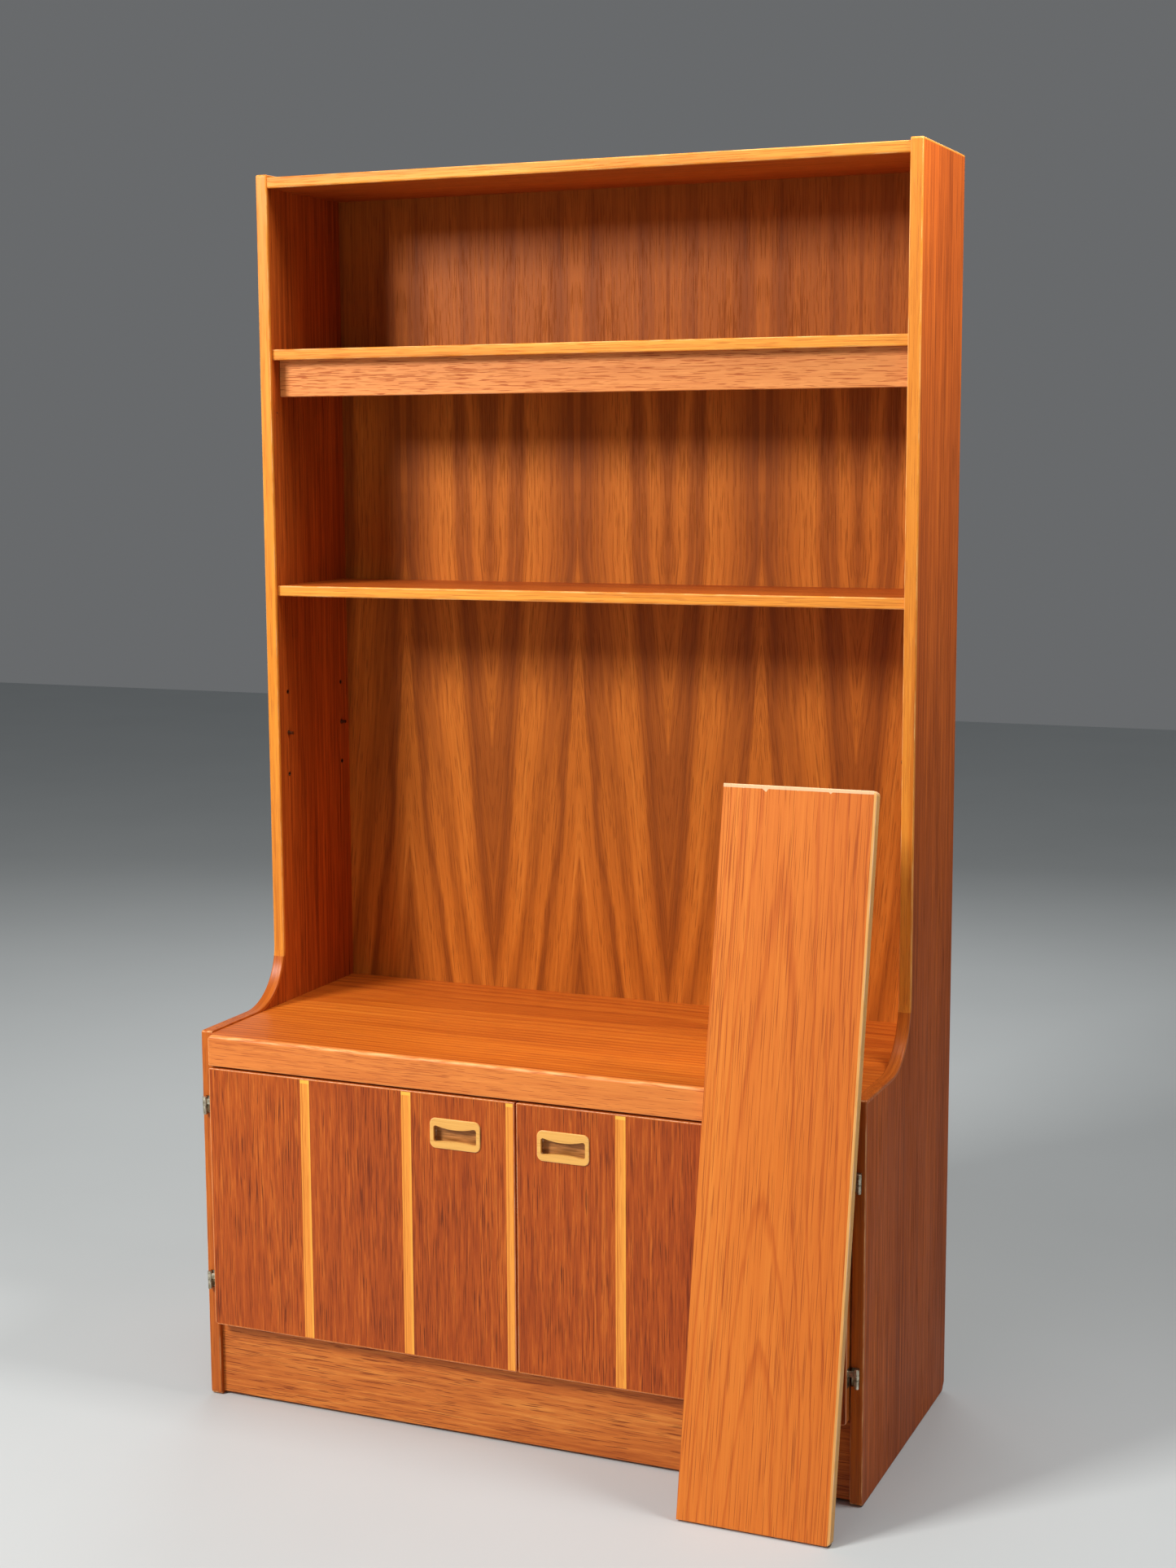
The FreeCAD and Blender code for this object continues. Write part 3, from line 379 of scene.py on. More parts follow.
# ----------------------------------------------------------- the wood, by place
def curtain_bands(shader, space):
    """Wide soft upright bands, dark and golden, as in a ribbon figure."""
    along, across, _ = shader.split(space)
    wave = shader.noise(shader.scaled(space, (2.1, 4.0, 0.0), (6, 1, 2)), detail=2.0)
    across = shader.math("MULTIPLY_ADD", wave, 0.08, across)
    # Above the upper shelf the bands are calmer, and the tone is lowered there as painted shade from the
    # top panel.
    calm_and_shaded_top = shader.step(along, UPPER_SHELF_Z - 0.04, UPPER_SHELF_Z + 0.04)
    across = shader.math("MULTIPLY_ADD", calm_and_shaded_top, 0.02, across)
    wide = shader.vector(shader.math("MULTIPLY", along, 0.6), shader.math("MULTIPLY", across, 38.0), 3.0)
    wide = shader.noise(wide, detail=0.0)
    narrow = shader.noise(shader.vector(along, shader.math("MULTIPLY", across, 95.0), 1.0), detail=2.0)
    tone = shader.math("MULTIPLY_ADD", shader.step(wide, 0.26, 0.68), 0.31, -0.155)
    tone = shader.math("MULTIPLY_ADD", shader.math("SUBTRACT", narrow, 0.5), 0.34, tone)
    tone = shader.math("MULTIPLY", tone, shader.math("MULTIPLY_ADD", calm_and_shaded_top, -0.5, 1.0))
    return shader.math("MULTIPLY_ADD", calm_and_shaded_top, -0.08, tone)


def plain_rear(shader, colour):
    """The side of the back panel that faces the wall is left as plain plywood."""
    x, y, z = shader.split(shader.place())
    fibres = shader.vector(shader.math("MULTIPLY", x, 120.0), 3.0, shader.math("MULTIPLY", z, 2.5))
    fibres = shader.noise(fibres, detail=4.0)
    plywood = shader.ramp(fibres, [(0.3, srgb(148, 108, 70)), (0.7, srgb(190, 150, 106))])
    return shader.mix(shader.step(y, forward(0.003), forward(0.002)), colour, plywood)


def strip_turns(shader, x):
    """A count that is whole at the centre of each pale strip."""
    return shader.math("DIVIDE", shader.math("SUBTRACT", x, STRIP_CENTRE), STRIP_PITCH)


def lined_beside_strips(shader, space):
    """The facing's grain is straighter and more golden just left of a strip."""
    x = shader.split(shader.place())[0]
    to_next = shader.math("SUBTRACT", 1.0, shader.math("FRACT", strip_turns(shader, x)))
    to_next = shader.math("MULTIPLY", to_next, STRIP_PITCH)
    zone = shader.math("SUBTRACT", 1.0, shader.step(to_next, 0.014, 0.055))
    across = shader.split(space)[1]
    lines = shader.noise(shader.vector(2.0, shader.math("MULTIPLY", across, 420.0), 7.0), detail=1.0)
    tone = shader.math("MULTIPLY", shader.math("SUBTRACT", lines, 0.44), 1.3)
    return shader.math("MULTIPLY", zone, tone)


def drilled_side(shader, colour):
    """Holes in the inner face are painted black inside as painted shade, and darkened in a ring around
    those of the left side.

    A fine dark line shows where two leaves of the deep base's veneer meet.
    """
    x, y, z = shader.split(shader.place())
    flat = shader.math("ABSOLUTE", x)
    sunk = shader.step(flat, INNER_X + 0.0004, INNER_X + 0.0012)
    short_of_outside = shader.step(flat, OUTER_X - 0.0006, OUTER_X - 0.0014)
    inside = shader.math("MULTIPLY", sunk, short_of_outside)
    inside = shader.math("MULTIPLY", inside, shader.step(y, forward(0.012), forward(0.016)))
    away_z = shader.math("SUBTRACT", z, PIN_ROW_Z)
    row = shader.math("ROUND", shader.math("DIVIDE", away_z, PIN_PITCH))
    row = shader.math("MINIMUM", shader.math("MAXIMUM", row, -1.0), 1.0)
    away_z = shader.math("MULTIPLY_ADD", row, -PIN_PITCH, away_z)
    away_y = [shader.math("ABSOLUTE", shader.math("SUBTRACT", y, forward(depth))) for depth in PIN_DEPTHS]
    away_y = shader.math("MINIMUM", *away_y)
    reach = shader.distance(away_z, away_y)
    on_left = shader.step(x, -INNER_X + 0.01, -INNER_X + 0.002)
    dark_ring = shader.math("MULTIPLY", shader.step(reach, 0.0044, 0.0026), on_left)
    dark_ring = shader.math("MULTIPLY", dark_ring, short_of_outside)
    from_joint = shader.math("ABSOLUTE", shader.math("SUBTRACT", y, forward(VENEER_JOINT_DEPTH)))
    joint = shader.step(from_joint, 0.0014, 0.0004)
    joint = shader.math("MULTIPLY", joint, shader.step(z, STEP_Z + 0.02, STEP_Z - 0.02))
    colour = shader.mix(shader.math("MULTIPLY", joint, 0.5), colour, srgb(60, 26, 12))
    # Painted shade inside the holes and cut-outs within the panel, and a dark ring round the left side's
    # holes.
    dark = shader.math("MAXIMUM", inside, shader.math("MULTIPLY", dark_ring, 0.85))
    return shader.mix(dark, colour, srgb(30, 12, 6))


def pocket_brown_and_shade(shader, colour):
    """The wood in a pull's pocket is painted brown and streaky, partly its own colour and partly painted
    shade in the recess; its rim is pale.
    """
    x, y, z = shader.split(shader.place())
    deep = shader.step(y, DOOR_FRONT_Y + 0.0005, DOOR_FRONT_Y + 0.0045)
    streak = shader.vector(shader.math("MULTIPLY", x, 30.0), 0.0, shader.math("MULTIPLY", z, 300.0))
    streak = shader.noise(streak, detail=3.0)
    brown = shader.ramp(streak, [(0.35, srgb(120, 62, 22)), (0.65, srgb(206, 134, 74))])
    # Painted shade: the recess behind the front face is darkened to brown.
    return shader.mix(shader.math("MULTIPLY", deep, 0.85), colour, brown)


def chipped_top(shader, colour):
    """A bare pale end with a few chips out of the face beside it."""
    x, _, z = shader.split(shader.place())
    bite = shader.noise(shader.vector(shader.math("MULTIPLY", x, 55.0), 4.0, 2.0), detail=2.0)
    lower = shader.math("MULTIPLY_ADD", shader.step(bite, 0.56, 0.70), -0.0045, LOOSE_TOP_Z - 0.0042)
    bare = shader.step(shader.math("SUBTRACT", z, lower), 0.0, 0.0006)
    return shader.mix(shader.math("MULTIPLY", bare, 0.8), colour, srgb(244, 206, 160))


def strip_marks(shader, colour):
    """A dark glue line on the left of a strip, a bright right edge and a pale top end."""
    x, _, z = shader.split(shader.place())
    turns = strip_turns(shader, x)
    offset = shader.math("SUBTRACT", turns, shader.math("ROUND", turns))
    across = shader.math("MULTIPLY", offset, STRIP_PITCH / STRIP_HALF)
    from_glue = shader.math("ABSOLUTE", shader.math("ADD", across, 0.62))
    glue = shader.math("SUBTRACT", 1.0, shader.step(from_glue, 0.03, 0.12))
    bright = shader.step(across, 0.45, 0.75)
    colour = shader.mix(shader.math("MULTIPLY", glue, 0.55), colour, oiled((176, 84, 30)))
    colour = shader.mix(shader.math("MULTIPLY", bright, 0.6), colour, oiled((255, 196, 120)))
    top = shader.step(z, DOOR_TOP - 0.0075, DOOR_TOP - 0.0065)
    return shader.mix(shader.math("MULTIPLY", top, 0.75), colour, oiled((255, 216, 130)))


def paint_woods():
    side = dict(
        tones=[(130, 61, 28), (162, 80, 39), (188, 97, 50), (212, 118, 64)], marks=drilled_side,
        streaks=0.7, blotch=0.3, pores=0.6, pore_colour=(104, 48, 22), wear_and_highlight=0.35, pore_length=1.6,
        roughness=0.55, gloss=0.14, coat=0.0,
    )
    lip = dict(
        tones=[(190, 110, 50), (222, 144, 74), (238, 164, 90), (250, 186, 116)],
        streaks=0.5, blotch=0.3, pores=0.35, pore_colour=(170, 84, 36), wear_and_highlight=0.5,
        wear_and_highlight_colour=(252, 196, 124), roughness=0.38,
    )
    # The base and step lippings are darker and redder than the upper edgings: partly their own colour,
    # partly painted shade on the low base lippings.
    low_edging_and_shade = dict(
        tones=[(140, 68, 30), (176, 92, 42), (200, 114, 56), (222, 140, 78)], streaks=0.5, pores=0.4,
        pore_colour=(120, 54, 24), wear_and_highlight_colour=(250, 196, 134), roughness=0.4,
    )
    for index, name in enumerate(SIDES):
        panel = wood(name + "_side_veneer", "side", shift=(index * 3.1, index * 1.7, 0), **side)
        give(panel, name + "_side_panel")
        front = wood(name + "_front_edging", "front_upright", shift=(index, 0.4, 0), **lip)
        give(front, name + "_upper_lipping")
        give(wood(name + "_level_edging", "end", shift=(index, 0.2, 0), **lip), name + "_top_lipping")
        low = wood(name + "_low_edging", "front_upright", shift=(index, 0.4, 0), wear_and_highlight=0.5, **low_edging_and_shade)
        give(low, name + "_base_lipping")
        step = wood(name + "_step_edging", "step", shift=(index, 0.2, 0), wear_and_highlight=0.0, **low_edging_and_shade)
        give(step, name + "_step_lipping")

    shelf = dict(
        tones=[(130, 58, 20), (168, 82, 32), (196, 104, 46), (216, 128, 64)],
        streaks=0.5, pores=0.45, pore_colour=(110, 50, 20), wear_and_highlight=0.4, gloss=0.3,
    )
    boards = ("top_panel", "upper_shelf", "middle_shelf", "cupboard_floor", "cupboard_shelf")
    for index, name in enumerate(boards):
        give(wood(name + "_veneer", "shelf", shift=(index * 2.3, index * 0.9, 0), **shelf), name)
    edge = dict(
        tones=[(190, 110, 50), (224, 146, 74), (242, 170, 96), (252, 192, 122)],
        streaks=0.55, pores=0.45, pore_colour=(160, 80, 36), wear_and_highlight=0.55, wear_and_highlight_colour=(255, 200, 128),
    )
    for index, name in enumerate(boards[:3]):
        give(wood(name + "_edging", "front_level", shift=(index * 1.9, 0, 0), **edge), name + "_lipping")

    give(wood(
        "pelmet_veneer", "front_level",
        [(196, 116, 86), (220, 146, 116), (234, 164, 136), (246, 188, 162)],
        streaks=0.42, blotch=0.25, pores=0.85, pore_colour=(170, 86, 52), pore_length=0.6, wear_and_highlight=0.3,
        grain=(9, 240),
    ), "light_pelmet")
    give(wood(
        "worktop_veneer", "shelf",
        [(164, 80, 30), (194, 103, 44), (213, 122, 56), (230, 144, 76)],
        shift=(1.3, 0.2, 0), rings=dict(centre=0.35, depth=0.09, climb=0.03, spacing=0.011, wander=0.05),
        ring_depth=0.24, streaks=0.45, pores=0.4, pore_colour=(150, 68, 28), wear_and_highlight=0.3,
    ), "worktop")
    give(wood(
        "fascia_veneer", "front_level",
        [(194, 106, 70), (221, 135, 94), (235, 151, 108), (246, 171, 130)],
        streaks=0.45, blotch=0.3, pores=0.7, pore_colour=(172, 84, 46), pore_length=0.8, wear_and_highlight=0.6,
        wear_and_highlight_colour=(255, 190, 124), grain=(6, 200),
    ), "worktop_fascia")
    give(wood(
        "inner_softwood", "front_level",
        [(150, 96, 54), (182, 126, 78), (206, 152, 102), (222, 174, 124)],
        pores=0.2, wear_and_highlight=0.2, roughness=0.6, coat=0.0,
    ), "worktop_front_rail", "plinth_rear")
    give(wood(
        "plinth_veneer", "front_level",
        [(150, 76, 40), (184, 102, 60), (206, 124, 78), (226, 152, 104)],
        shift=(4.4, 0, 0), grain=(8, 200), streaks=0.6, blotch=0.4, pores=0.9, pore_colour=(132, 62, 32),
        pore_length=0.8, wear_and_highlight=0.3,
    ), "plinth_front")
    back = wood(
        "back_veneer", "front_upright",
        [(116, 58, 22), (156, 86, 36), (194, 115, 54), (224, 146, 84)],
        match=dict(leaf=0.1492, start=-0.2347, lean=0.09, knee=1.25), streaks=0.24, blotch=0.12,
        pores=0.5, pore_colour=(118, 58, 22), pore_length=0.8, bands=curtain_bands, wear_and_highlight=0.0, roughness=0.5,
        gloss=0.16, coat=0.0, marks=plain_rear,
    )
    give(back, "upper_back_panel", "lower_back_panel")

    for index, side_name in enumerate(SIDES):
        door = side_name + "_door"
        give(wood(
            door + "_inner_veneer", "front_upright",
            [(128, 58, 26), (160, 80, 40), (186, 102, 56), (206, 124, 74)],
            shift=(index * 2, 0, 0), streaks=0.4, pores=0.4, wear_and_highlight=0.2,
        ), door + "_core")
        give(wood(
            door + "_facing", "front_upright",
            [(132, 55, 20), (162, 74, 30), (182, 89, 38), (206, 114, 58)],
            shift=(index * 2.7, index * 0.3, 0), grain=(11, 230), streaks=0.75, blotch=0.35,
            bands=lined_beside_strips, pores=0.9, pore_colour=(106, 44, 20), pore_length=1.1,
            wear_and_highlight=0.85, wear_and_highlight_colour=(250, 190, 150),
        ), door + "_facings")
        give(wood(
            door + "_strip", "front_upright",
            [(216, 132, 72), (240, 160, 96), (250, 176, 110), (255, 196, 134)],
            shift=(index * 1.1, 0.1, 0), streaks=0.45, blotch=0.2, pores=0.35, pore_colour=(196, 100, 44),
            marks=strip_marks, wear_and_highlight=0.4,
        ), door + "_strips")
        give(wood(
            door + "_edge", "front_upright",
            [(170, 84, 44), (196, 108, 62), (216, 132, 84), (234, 160, 114)],
            shift=(index * 1.3, 0.2, 0), streaks=0.35, pores=0.35, wear_and_highlight=0.95, wear_and_highlight_colour=(252, 200, 164),
        ), door + "_edge_lippings")
        give(wood(
            door + "_pull_beech", "front_level",
            [(222, 166, 122), (236, 186, 144), (244, 200, 160), (250, 214, 180)],
            shift=(index * 0.7, 0, 0), streaks=0.3, blotch=0.2, pores=0.3, pore_colour=(200, 140, 96),
            wear_and_highlight=0.4, wear_and_highlight_colour=(255, 228, 180), roughness=0.34, marks=pocket_brown_and_shade,
        ), door + "_pull")

    give(wood(
        "loose_shelf_veneer", "front_upright",
        [(178, 88, 40), (206, 112, 56), (222, 130, 70), (238, 154, 92)],
        tilt=LEAN, rings=dict(
            centre=0.385, depth=0.05, climb=0.03, spacing=0.012, wander=0.06, line=(0.72, 0.9),
        ),
        ring_depth=0.26, streaks=0.27, blotch=0.22, pores=0.7, pore_colour=(160, 74, 36), pore_length=2.0,
        wear_and_highlight=0.3, grain=(1.6, 260), marks=chipped_top,
    ), "loose_shelf_board")
    give(wood(
        "loose_shelf_edge", "front_upright",
        [(206, 140, 110), (226, 172, 144), (240, 198, 172), (250, 218, 198)],
        tilt=LEAN, streaks=0.35, pores=0.3, pore_colour=(190, 120, 86),
        wear_and_highlight=0.6, wear_and_highlight_colour=(250, 214, 176),
    ), "loose_shelf_lipping")
    give(wood(
        "beech_dowel", "shelf",
        [(190, 150, 100), (206, 168, 118), (218, 184, 134), (228, 198, 150)],
        streaks=0.3, pores=0.3, pore_colour=(170, 120, 76), wear_and_highlight=0.2, roughness=0.55,
    ), "carcase_dowels")


def paint_hardware():
    for side in SIDES:
        strike = aged_metal(side + "_strike_steel", (190, 190, 188), (150, 150, 148), (96, 94, 90), 0.3)
        give(strike, side + "_door_strike_plate")
    bronzed = aged_metal("bronzed_pins", (150, 106, 70), (64, 40, 26), (30, 20, 14), 0.4)
    give(bronzed, "shelf_pins", "cupboard_shelf_pins")
    steel = aged_metal("dull_steel", (176, 174, 170), (128, 126, 122), (74, 70, 64), 0.38)
    give(steel, "hinge_pins", "back_panel_nails")
    give(moulded_plastic("brown_plastic", (112, 76, 48), (84, 54, 34)), "catch_housings")
    give(aged_metal("ferrite", (66, 66, 68), (46, 46, 48), (30, 30, 32), 0.55, 0.4), "catch_magnets")


# ------------------------------------------------------- hinges and their screws
HINGE_X = 0.5025
HINGE_Y = forward(0.446)
HINGE_HEIGHT = 0.027
HINGE_ZS = {"upper": 0.452, "lower": 0.1825}
KNUCKLE_SPLIT = -0.0008
KNUCKLE_GAP = 0.0003
LOWER_KNUCKLE = 0.0032
UPPER_KNUCKLE = 0.0035
PIN_BORE = 0.00155
KNUCKLE_ROUND = 0.0003
GROOVE_DEPTH = 0.0003
# How far in from the wall and down from the top each point of a knuckle's crown is.
KNUCKLE_CROWN = ((0.0, 0.0008), (0.0003, 0.0002), (0.0009, 0.0))
KNUCKLE_CAP = 0.002
LEAF_THICKNESS = 0.0012
LEAF_WEB = 0.002
# How far a web runs into what it holds, and stops short of its knuckle's ends.
WEB_ROOT = 0.0008
DOOR_WEB_ROOT = 0.0004
CABINET_WEB_INSET = 0.001
DOOR_WEB_INSET = 0.003
CRANK_Y = forward(0.436)
LEAF_BACK_Y = forward(0.404)
DOOR_EDGE_X = 0.4906
DOOR_LEAF_YS = (forward(0.451), forward(0.439))
CABINET_SCREW_YS = (forward(0.412), forward(0.426))
DOOR_SCREW_Y = forward(0.445)
DOOR_SCREW_OFFSET = 0.008
SCREW_HEAD = 0.0029
SCREW_CORE = 0.0011
SCREW_THREAD = 0.0014
SCREW_LENGTH = 0.013
SCREW_SLOT_HALF = 0.00035
SCREW_SLOT_DEPTH = 0.0006
SCREW_CONE_DEPTH = 0.0015
THREAD_START = 0.004
THREAD_END = 0.011
THREAD_TURNS = 9
SHOULDER_END = 0.0118


def turned(bm, profile, place, segments=36):
    """Spin a closed profile of (radius, height) pairs; place puts its axis into the frame."""
    rings = []
    for radius, height in profile:
        angles = [2 * math.pi * i / segments for i in range(segments)] if radius else [0.0]
        ring = [Vector((radius * math.cos(a), radius * math.sin(a), height)) for a in angles]
        rings.append([bm.verts.new(place @ point) for point in ring])
    for lower, upper in zip(rings, rings[1:] + rings[:1]):
        for i in range(segments):
            corners = [lower[i % len(lower)], lower[(i + 1) % len(lower)]]
            corners += [upper[(i + 1) % len(upper)], upper[i % len(upper)]]
            corners = list(dict.fromkeys(corners))
            if len(corners) > 2:
                bm.faces.new(corners)


def loft(bm, first, second):
    """A solid between two outlines with the same number of points."""
    ends = [[bm.verts.new(point) for point in outline] for outline in (first, second)]
    for outline in ends:
        bm.faces.new(outline)
    count = len(first)
    for i in range(count):
        j = (i + 1) % count
        bm.faces.new((ends[0][i], ends[0][j], ends[1][j], ends[1][i]))


def upright_slab(bm, outline, low, high):
    loft(bm, [(x, y, low) for x, y in outline], [(x, y, high) for x, y in outline])


def bent_strip(points, half, radius=0.0012, steps=5):
    """The plan outline of a metal strip that follows a path with softly bent corners."""
    points = [Vector(point) for point in points]
    path = points[:1]
    for before, corner, after in zip(points, points[1:], points[2:]):
        start = corner + (before - corner).normalized() * radius
        end = corner + (after - corner).normalized() * radius
        for i in range(steps + 1):
            share = i / steps
            path.append(start.lerp(corner, share).lerp(corner.lerp(end, share), share))
    path.append(points[-1])
    left, right = [], []
    for i, point in enumerate(path):
        ahead = (path[min(i + 1, len(path) - 1)] - path[max(i - 1, 0)]).normalized()
        across = Vector((-ahead.y, ahead.x)) * half
        left.append(point + across)
        right.append(point - across)
    return left + right[::-1]


def knuckle(bm, radius, low, high, z_closed):
    """A knuckle with rounded ends, a fine turned ring and a bore that is closed at z_closed."""
    groove = low + 0.75 * (high - low)
    wall = [(radius - KNUCKLE_ROUND, low), (radius, low + KNUCKLE_ROUND), (radius, groove)]
    wall += [(radius - GROOVE_DEPTH, groove + GROOVE_DEPTH), (radius, groove + 2 * GROOVE_DEPTH)]
    wall += [(radius - inset, high - drop) for inset, drop in KNUCKLE_CROWN]
    if z_closed:
        inner = [(0.0, high), (0.0, z_closed), (PIN_BORE, z_closed), (PIN_BORE, low)]
    else:
        inner = [(PIN_BORE, high), (PIN_BORE, low)]
    turned(bm, wall + inner, Matrix.Translation((-HINGE_X, HINGE_Y, 0)))


def cabinet_leaf(bm, z):
    """The lower knuckle and its cranked leaf, on the left side."""
    low, high = z - HINGE_HEIGHT / 2, z + HINGE_HEIGHT / 2
    split = z + KNUCKLE_SPLIT - KNUCKLE_GAP
    knuckle(bm, LOWER_KNUCKLE, low, split, None)
    crank_y = CRANK_Y - LEAF_THICKNESS / 2
    wall = HINGE_Y + LOWER_KNUCKLE - WEB_ROOT
    web = [(-HINGE_X, wall), (-HINGE_X, CRANK_Y)]
    upright_slab(bm, bent_strip(web, LEAF_WEB / 2), low + CABINET_WEB_INSET, split - CABINET_WEB_INSET)
    plate_x = -side_low.x - LEAF_THICKNESS / 2
    path = [(-HINGE_X - LEAF_WEB / 2, crank_y), (plate_x, crank_y), (plate_x, LEAF_BACK_Y)]
    upright_slab(bm, bent_strip(path, LEAF_THICKNESS / 2), low, high)


def door_leaf(bm, z):
    """The capped upper knuckle and its leaf, on the left door."""
    low, high = z - HINGE_HEIGHT / 2, z + HINGE_HEIGHT / 2
    split = z + KNUCKLE_SPLIT
    knuckle(bm, UPPER_KNUCKLE, split, high, high - KNUCKLE_CAP)
    wall = -HINGE_X + UPPER_KNUCKLE - WEB_ROOT
    web = [(wall, HINGE_Y), (-DOOR_EDGE_X + DOOR_WEB_ROOT, HINGE_Y)]
    upright_slab(bm, bent_strip(web, LEAF_WEB / 2), split + DOOR_WEB_INSET, high - DOOR_WEB_INSET)
    plate_x = -DOOR_EDGE_X + LEAF_THICKNESS / 2
    plate = [(plate_x, y) for y in DOOR_LEAF_YS]
    upright_slab(bm, bent_strip(plate, LEAF_THICKNESS / 2), low, high)


def slotted_screw(bm, head, direction, turn):
    """A countersunk screw with a slotted head; direction is +1 or -1 along X, into the wood."""
    aim = Matrix.Rotation(-direction * math.pi / 2, 4, "Y") @ Matrix.Rotation(turn, 4, "Z")
    place = Matrix.Translation(head) @ aim
    waist = SCREW_HEAD - SCREW_SLOT_DEPTH
    body = [(0.0, -SCREW_SLOT_DEPTH), (waist, -SCREW_SLOT_DEPTH)]
    body += [(SCREW_THREAD, -SCREW_CONE_DEPTH), (SCREW_THREAD, -THREAD_START)]
    pitch = (THREAD_END - THREAD_START) / THREAD_TURNS
    for i in range(THREAD_TURNS):
        depth = THREAD_START + pitch * i
        body += [(SCREW_CORE, -depth), (SCREW_THREAD, -depth - pitch / 2)]
    body += [(SCREW_CORE * 0.7, -SHOULDER_END), (0.0, -SCREW_LENGTH)]
    turned(bm, body, place, segments=20)
    for half in (1, -1):
        outlines = []
        for radius, height in ((waist, -SCREW_SLOT_DEPTH - 0.0001), (SCREW_HEAD, 0.0)):
            start = math.asin(SCREW_SLOT_HALF / radius)
            angles = [start + (math.pi - 2 * start) * i / 14 for i in range(15)]
            points = [Vector((radius * math.cos(a), half * radius * math.sin(a), height)) for a in angles]
            outlines.append([place @ point for point in points])
        loft(bm, *outlines)


def finished_piece(name, bm, right, material, body, bevel, node):
    """Turn a mesh that was built on the left into a named piece that replaces a node."""
    if right:
        bmesh.ops.scale(bm, vec=(-1, 1, 1), verts=bm.verts)
    bmesh.ops.recalc_face_normals(bm, faces=bm.faces)
    mesh = bpy.data.meshes.new(name)
    bm.to_mesh(mesh)
    bm.free()
    mesh.materials.append(material)
    mesh.shade_smooth()
    piece = bpy.data.objects.new(name, mesh)
    bpy.context.scene.collection.objects.link(piece)
    soften = piece.modifiers.new("soften", "BEVEL")
    soften.width = bevel
    soften.segments = 3
    soften.limit_method = "ANGLE"
    soften.harden_normals = True
    piece.modifiers.new("weights", "WEIGHTED_NORMAL").keep_sharp = True
    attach(piece, body)
    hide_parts(node)


def add_hinges():
    metal = aged_metal("hinge_nickel", (214, 204, 182), (150, 138, 112), (74, 60, 42), 0.32)
    screw_metal = aged_metal("hinge_screw_brass", (212, 186, 134), (158, 132, 84), (84, 66, 40), 0.3)
    inside = bmesh.new()
    for right, side in enumerate(SIDES):
        door = side + "_door"
        facing = 1 if right else -1
        edge = bmesh.new()
        leaves = (("cabinet", cabinet_leaf, "cabinet"), ("door", door_leaf, door))
        for place, z in HINGE_ZS.items():
            for kind, build, body in leaves:
                bm = bmesh.new()
                build(bm, z)
                node = f"{side}_{place}_hinge_{kind}_leaf"
                finished_piece(node + "_detailed", bm, right, metal, body, 0.00018, node)
            for i, y in enumerate(CABINET_SCREW_YS):
                slotted_screw(inside, (facing * side_low.x, y, z), facing, 0.7 + i * 1.3 + right)
            for i, offset in enumerate((-DOOR_SCREW_OFFSET, DOOR_SCREW_OFFSET)):
                slotted_screw(edge, (-DOOR_EDGE_X, DOOR_SCREW_Y, z + offset), 1, 0.4 + i * 1.9 + right)
        node = door + "_hinge_screws"
        finished_piece(node + "_slotted", edge, right, screw_metal, door, 0.0001, node)
    node = "cabinet_hinge_screws"
    finished_piece(node + "_slotted", inside, False, screw_metal, "cabinet", 0.0001, node)


# ------------------------------------------------------------ camera and lights
CAMERA_PLACE = Vector((1.33839, forward(3.31606), 1.40577))
CAMERA_YAW = 23.0445
CAMERA_PITCH = -8.0468
CAMERA_ROLL = -0.2833
CAMERA_LENS = 53.56


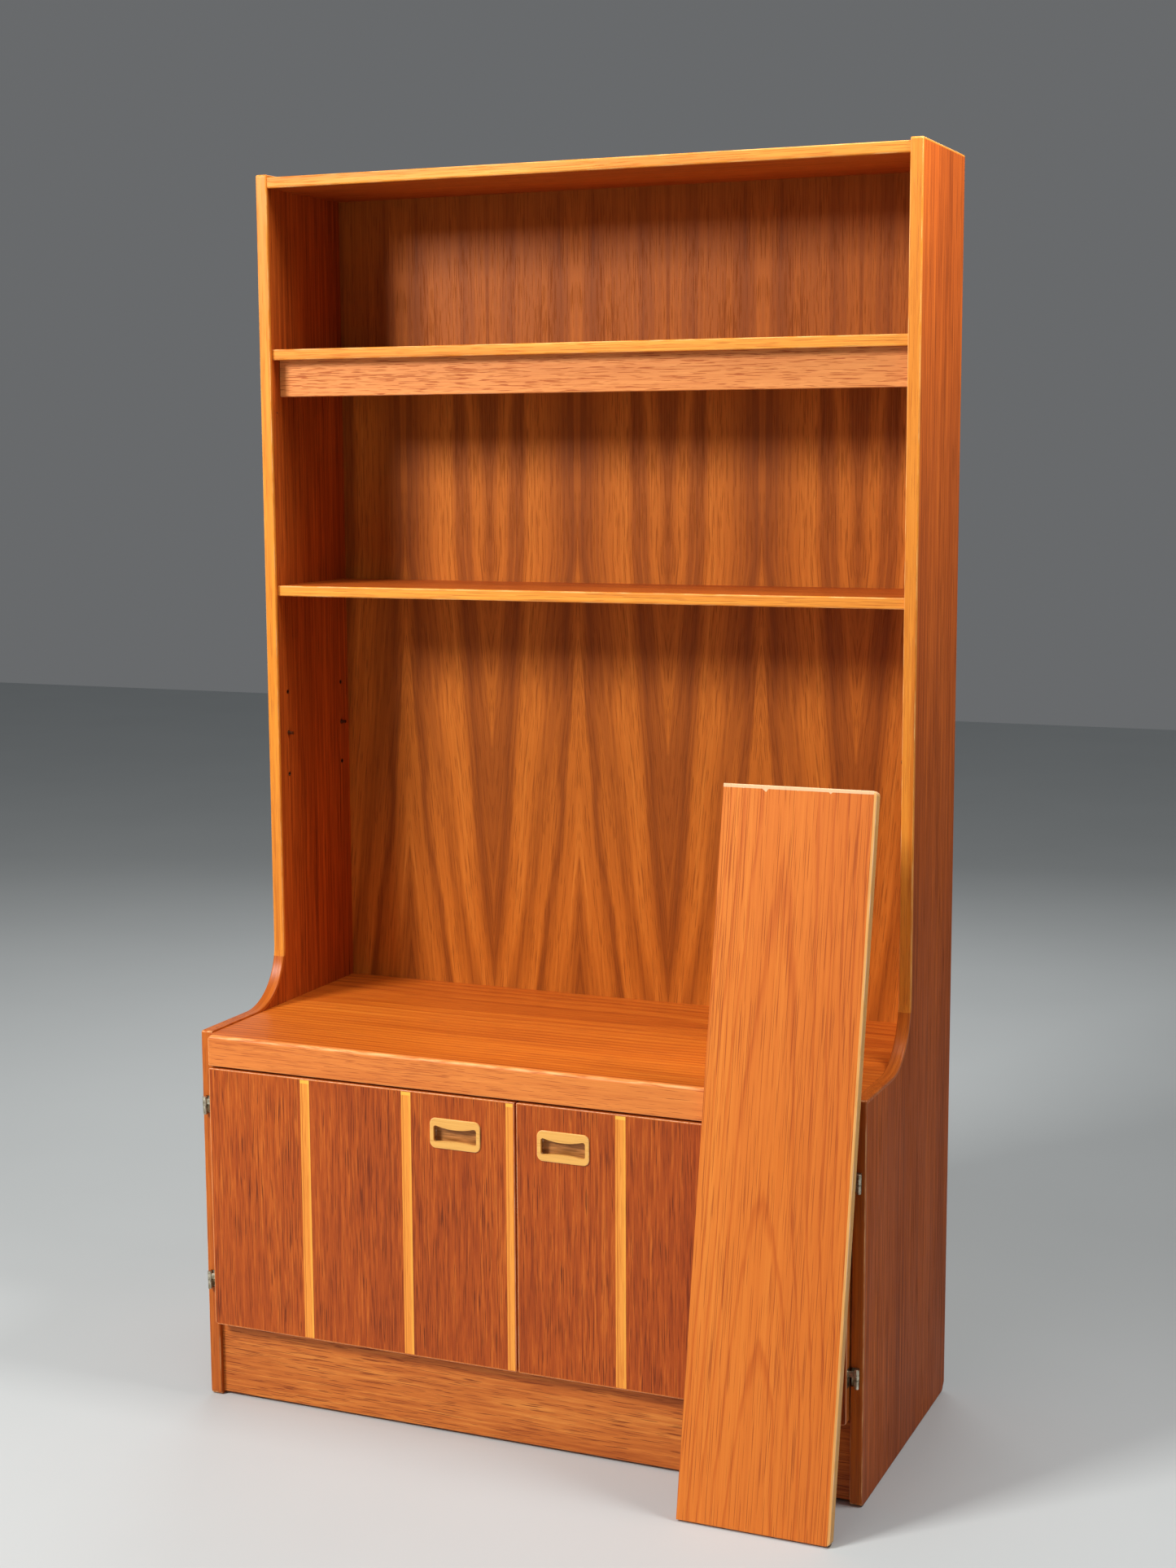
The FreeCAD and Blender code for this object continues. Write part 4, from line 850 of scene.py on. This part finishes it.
def add_camera():
    yaw, pitch, roll = (math.radians(a) for a in (CAMERA_YAW, CAMERA_PITCH, CAMERA_ROLL))
    ahead = Vector((-math.sin(yaw) * math.cos(pitch), math.cos(yaw) * math.cos(pitch), math.sin(pitch)))
    right = Vector((math.cos(yaw), math.sin(yaw), 0))
    up = right.cross(ahead)
    turned_right = right * math.cos(roll) + up * math.sin(roll)
    turned_up = up * math.cos(roll) - right * math.sin(roll)
    camera = bpy.data.objects.new("camera", bpy.data.cameras.new("camera"))
    camera.data.lens = CAMERA_LENS
    camera.data.sensor_width = 36.0
    camera.data.clip_end = 60.0
    turn = Matrix((turned_right, turned_up, -ahead)).transposed()
    camera.matrix_world = Matrix.Translation(CAMERA_PLACE) @ turn.to_4x4()
    bpy.context.scene.collection.objects.link(camera)
    bpy.context.scene.camera = camera


def add_light(name, place, target, size, power, colour=(1, 1, 1)):
    data = bpy.data.lights.new(name, "AREA")
    data.shape = "RECTANGLE"
    data.size, data.size_y = size
    data.energy = power
    data.color = colour
    light = bpy.data.objects.new(name, data)
    light.location = place
    light.rotation_euler = (Vector(target) - Vector(place)).to_track_quat("-Z", "Y").to_euler()
    bpy.context.scene.collection.objects.link(light)


def add_studio():
    add_light("key", (-2.2, -3.1, 3.1), (-0.1, 0, 1.0), (1.15, 1.15), 190, (1.0, 0.98, 0.95))
    add_light("front", (0.6, -4.2, 1.6), (0, 0, 0.8), (2.4, 1.6), 9, (1.0, 0.98, 0.96))
    add_light("above", (-0.2, -1.0, 3.5), (0, -0.2, 0.6), (1.4, 1.0), 22, (1.0, 0.97, 0.94))
    add_light("side", (1.2, 0.0, 2.5), (0.52, 0, 1.7), (0.5, 0.5), 27, (1.0, 0.97, 0.95))
    add_light("rear", (-1.0, 3.2, 2.6), (0, 0, 0.9), (2.4, 1.6), 30)
    world = bpy.data.worlds.new("studio")
    world.use_nodes = True
    sky = world.node_tree.nodes["Background"]
    sky.inputs["Color"].default_value = (0.58, 0.60, 0.62, 1)
    sky.inputs["Strength"].default_value = 0.24
    bpy.context.scene.world = world
    bpy.context.scene.view_settings.view_transform = "Standard"

    mesh = bpy.data.meshes.new("floor")
    reach = 9.0
    corners = [(-reach, -reach, 0), (reach, -reach, 0), (reach, reach, 0), (-reach, reach, 0)]
    mesh.from_pydata(corners, [], [(0, 1, 2, 3)])
    mesh.materials.append(painted_floor("pale_floor"))
    floor = bpy.data.objects.new("floor", mesh)
    bpy.context.scene.collection.objects.link(floor)


add_camera()
add_studio()
paint_woods()
paint_hardware()
add_hinges()
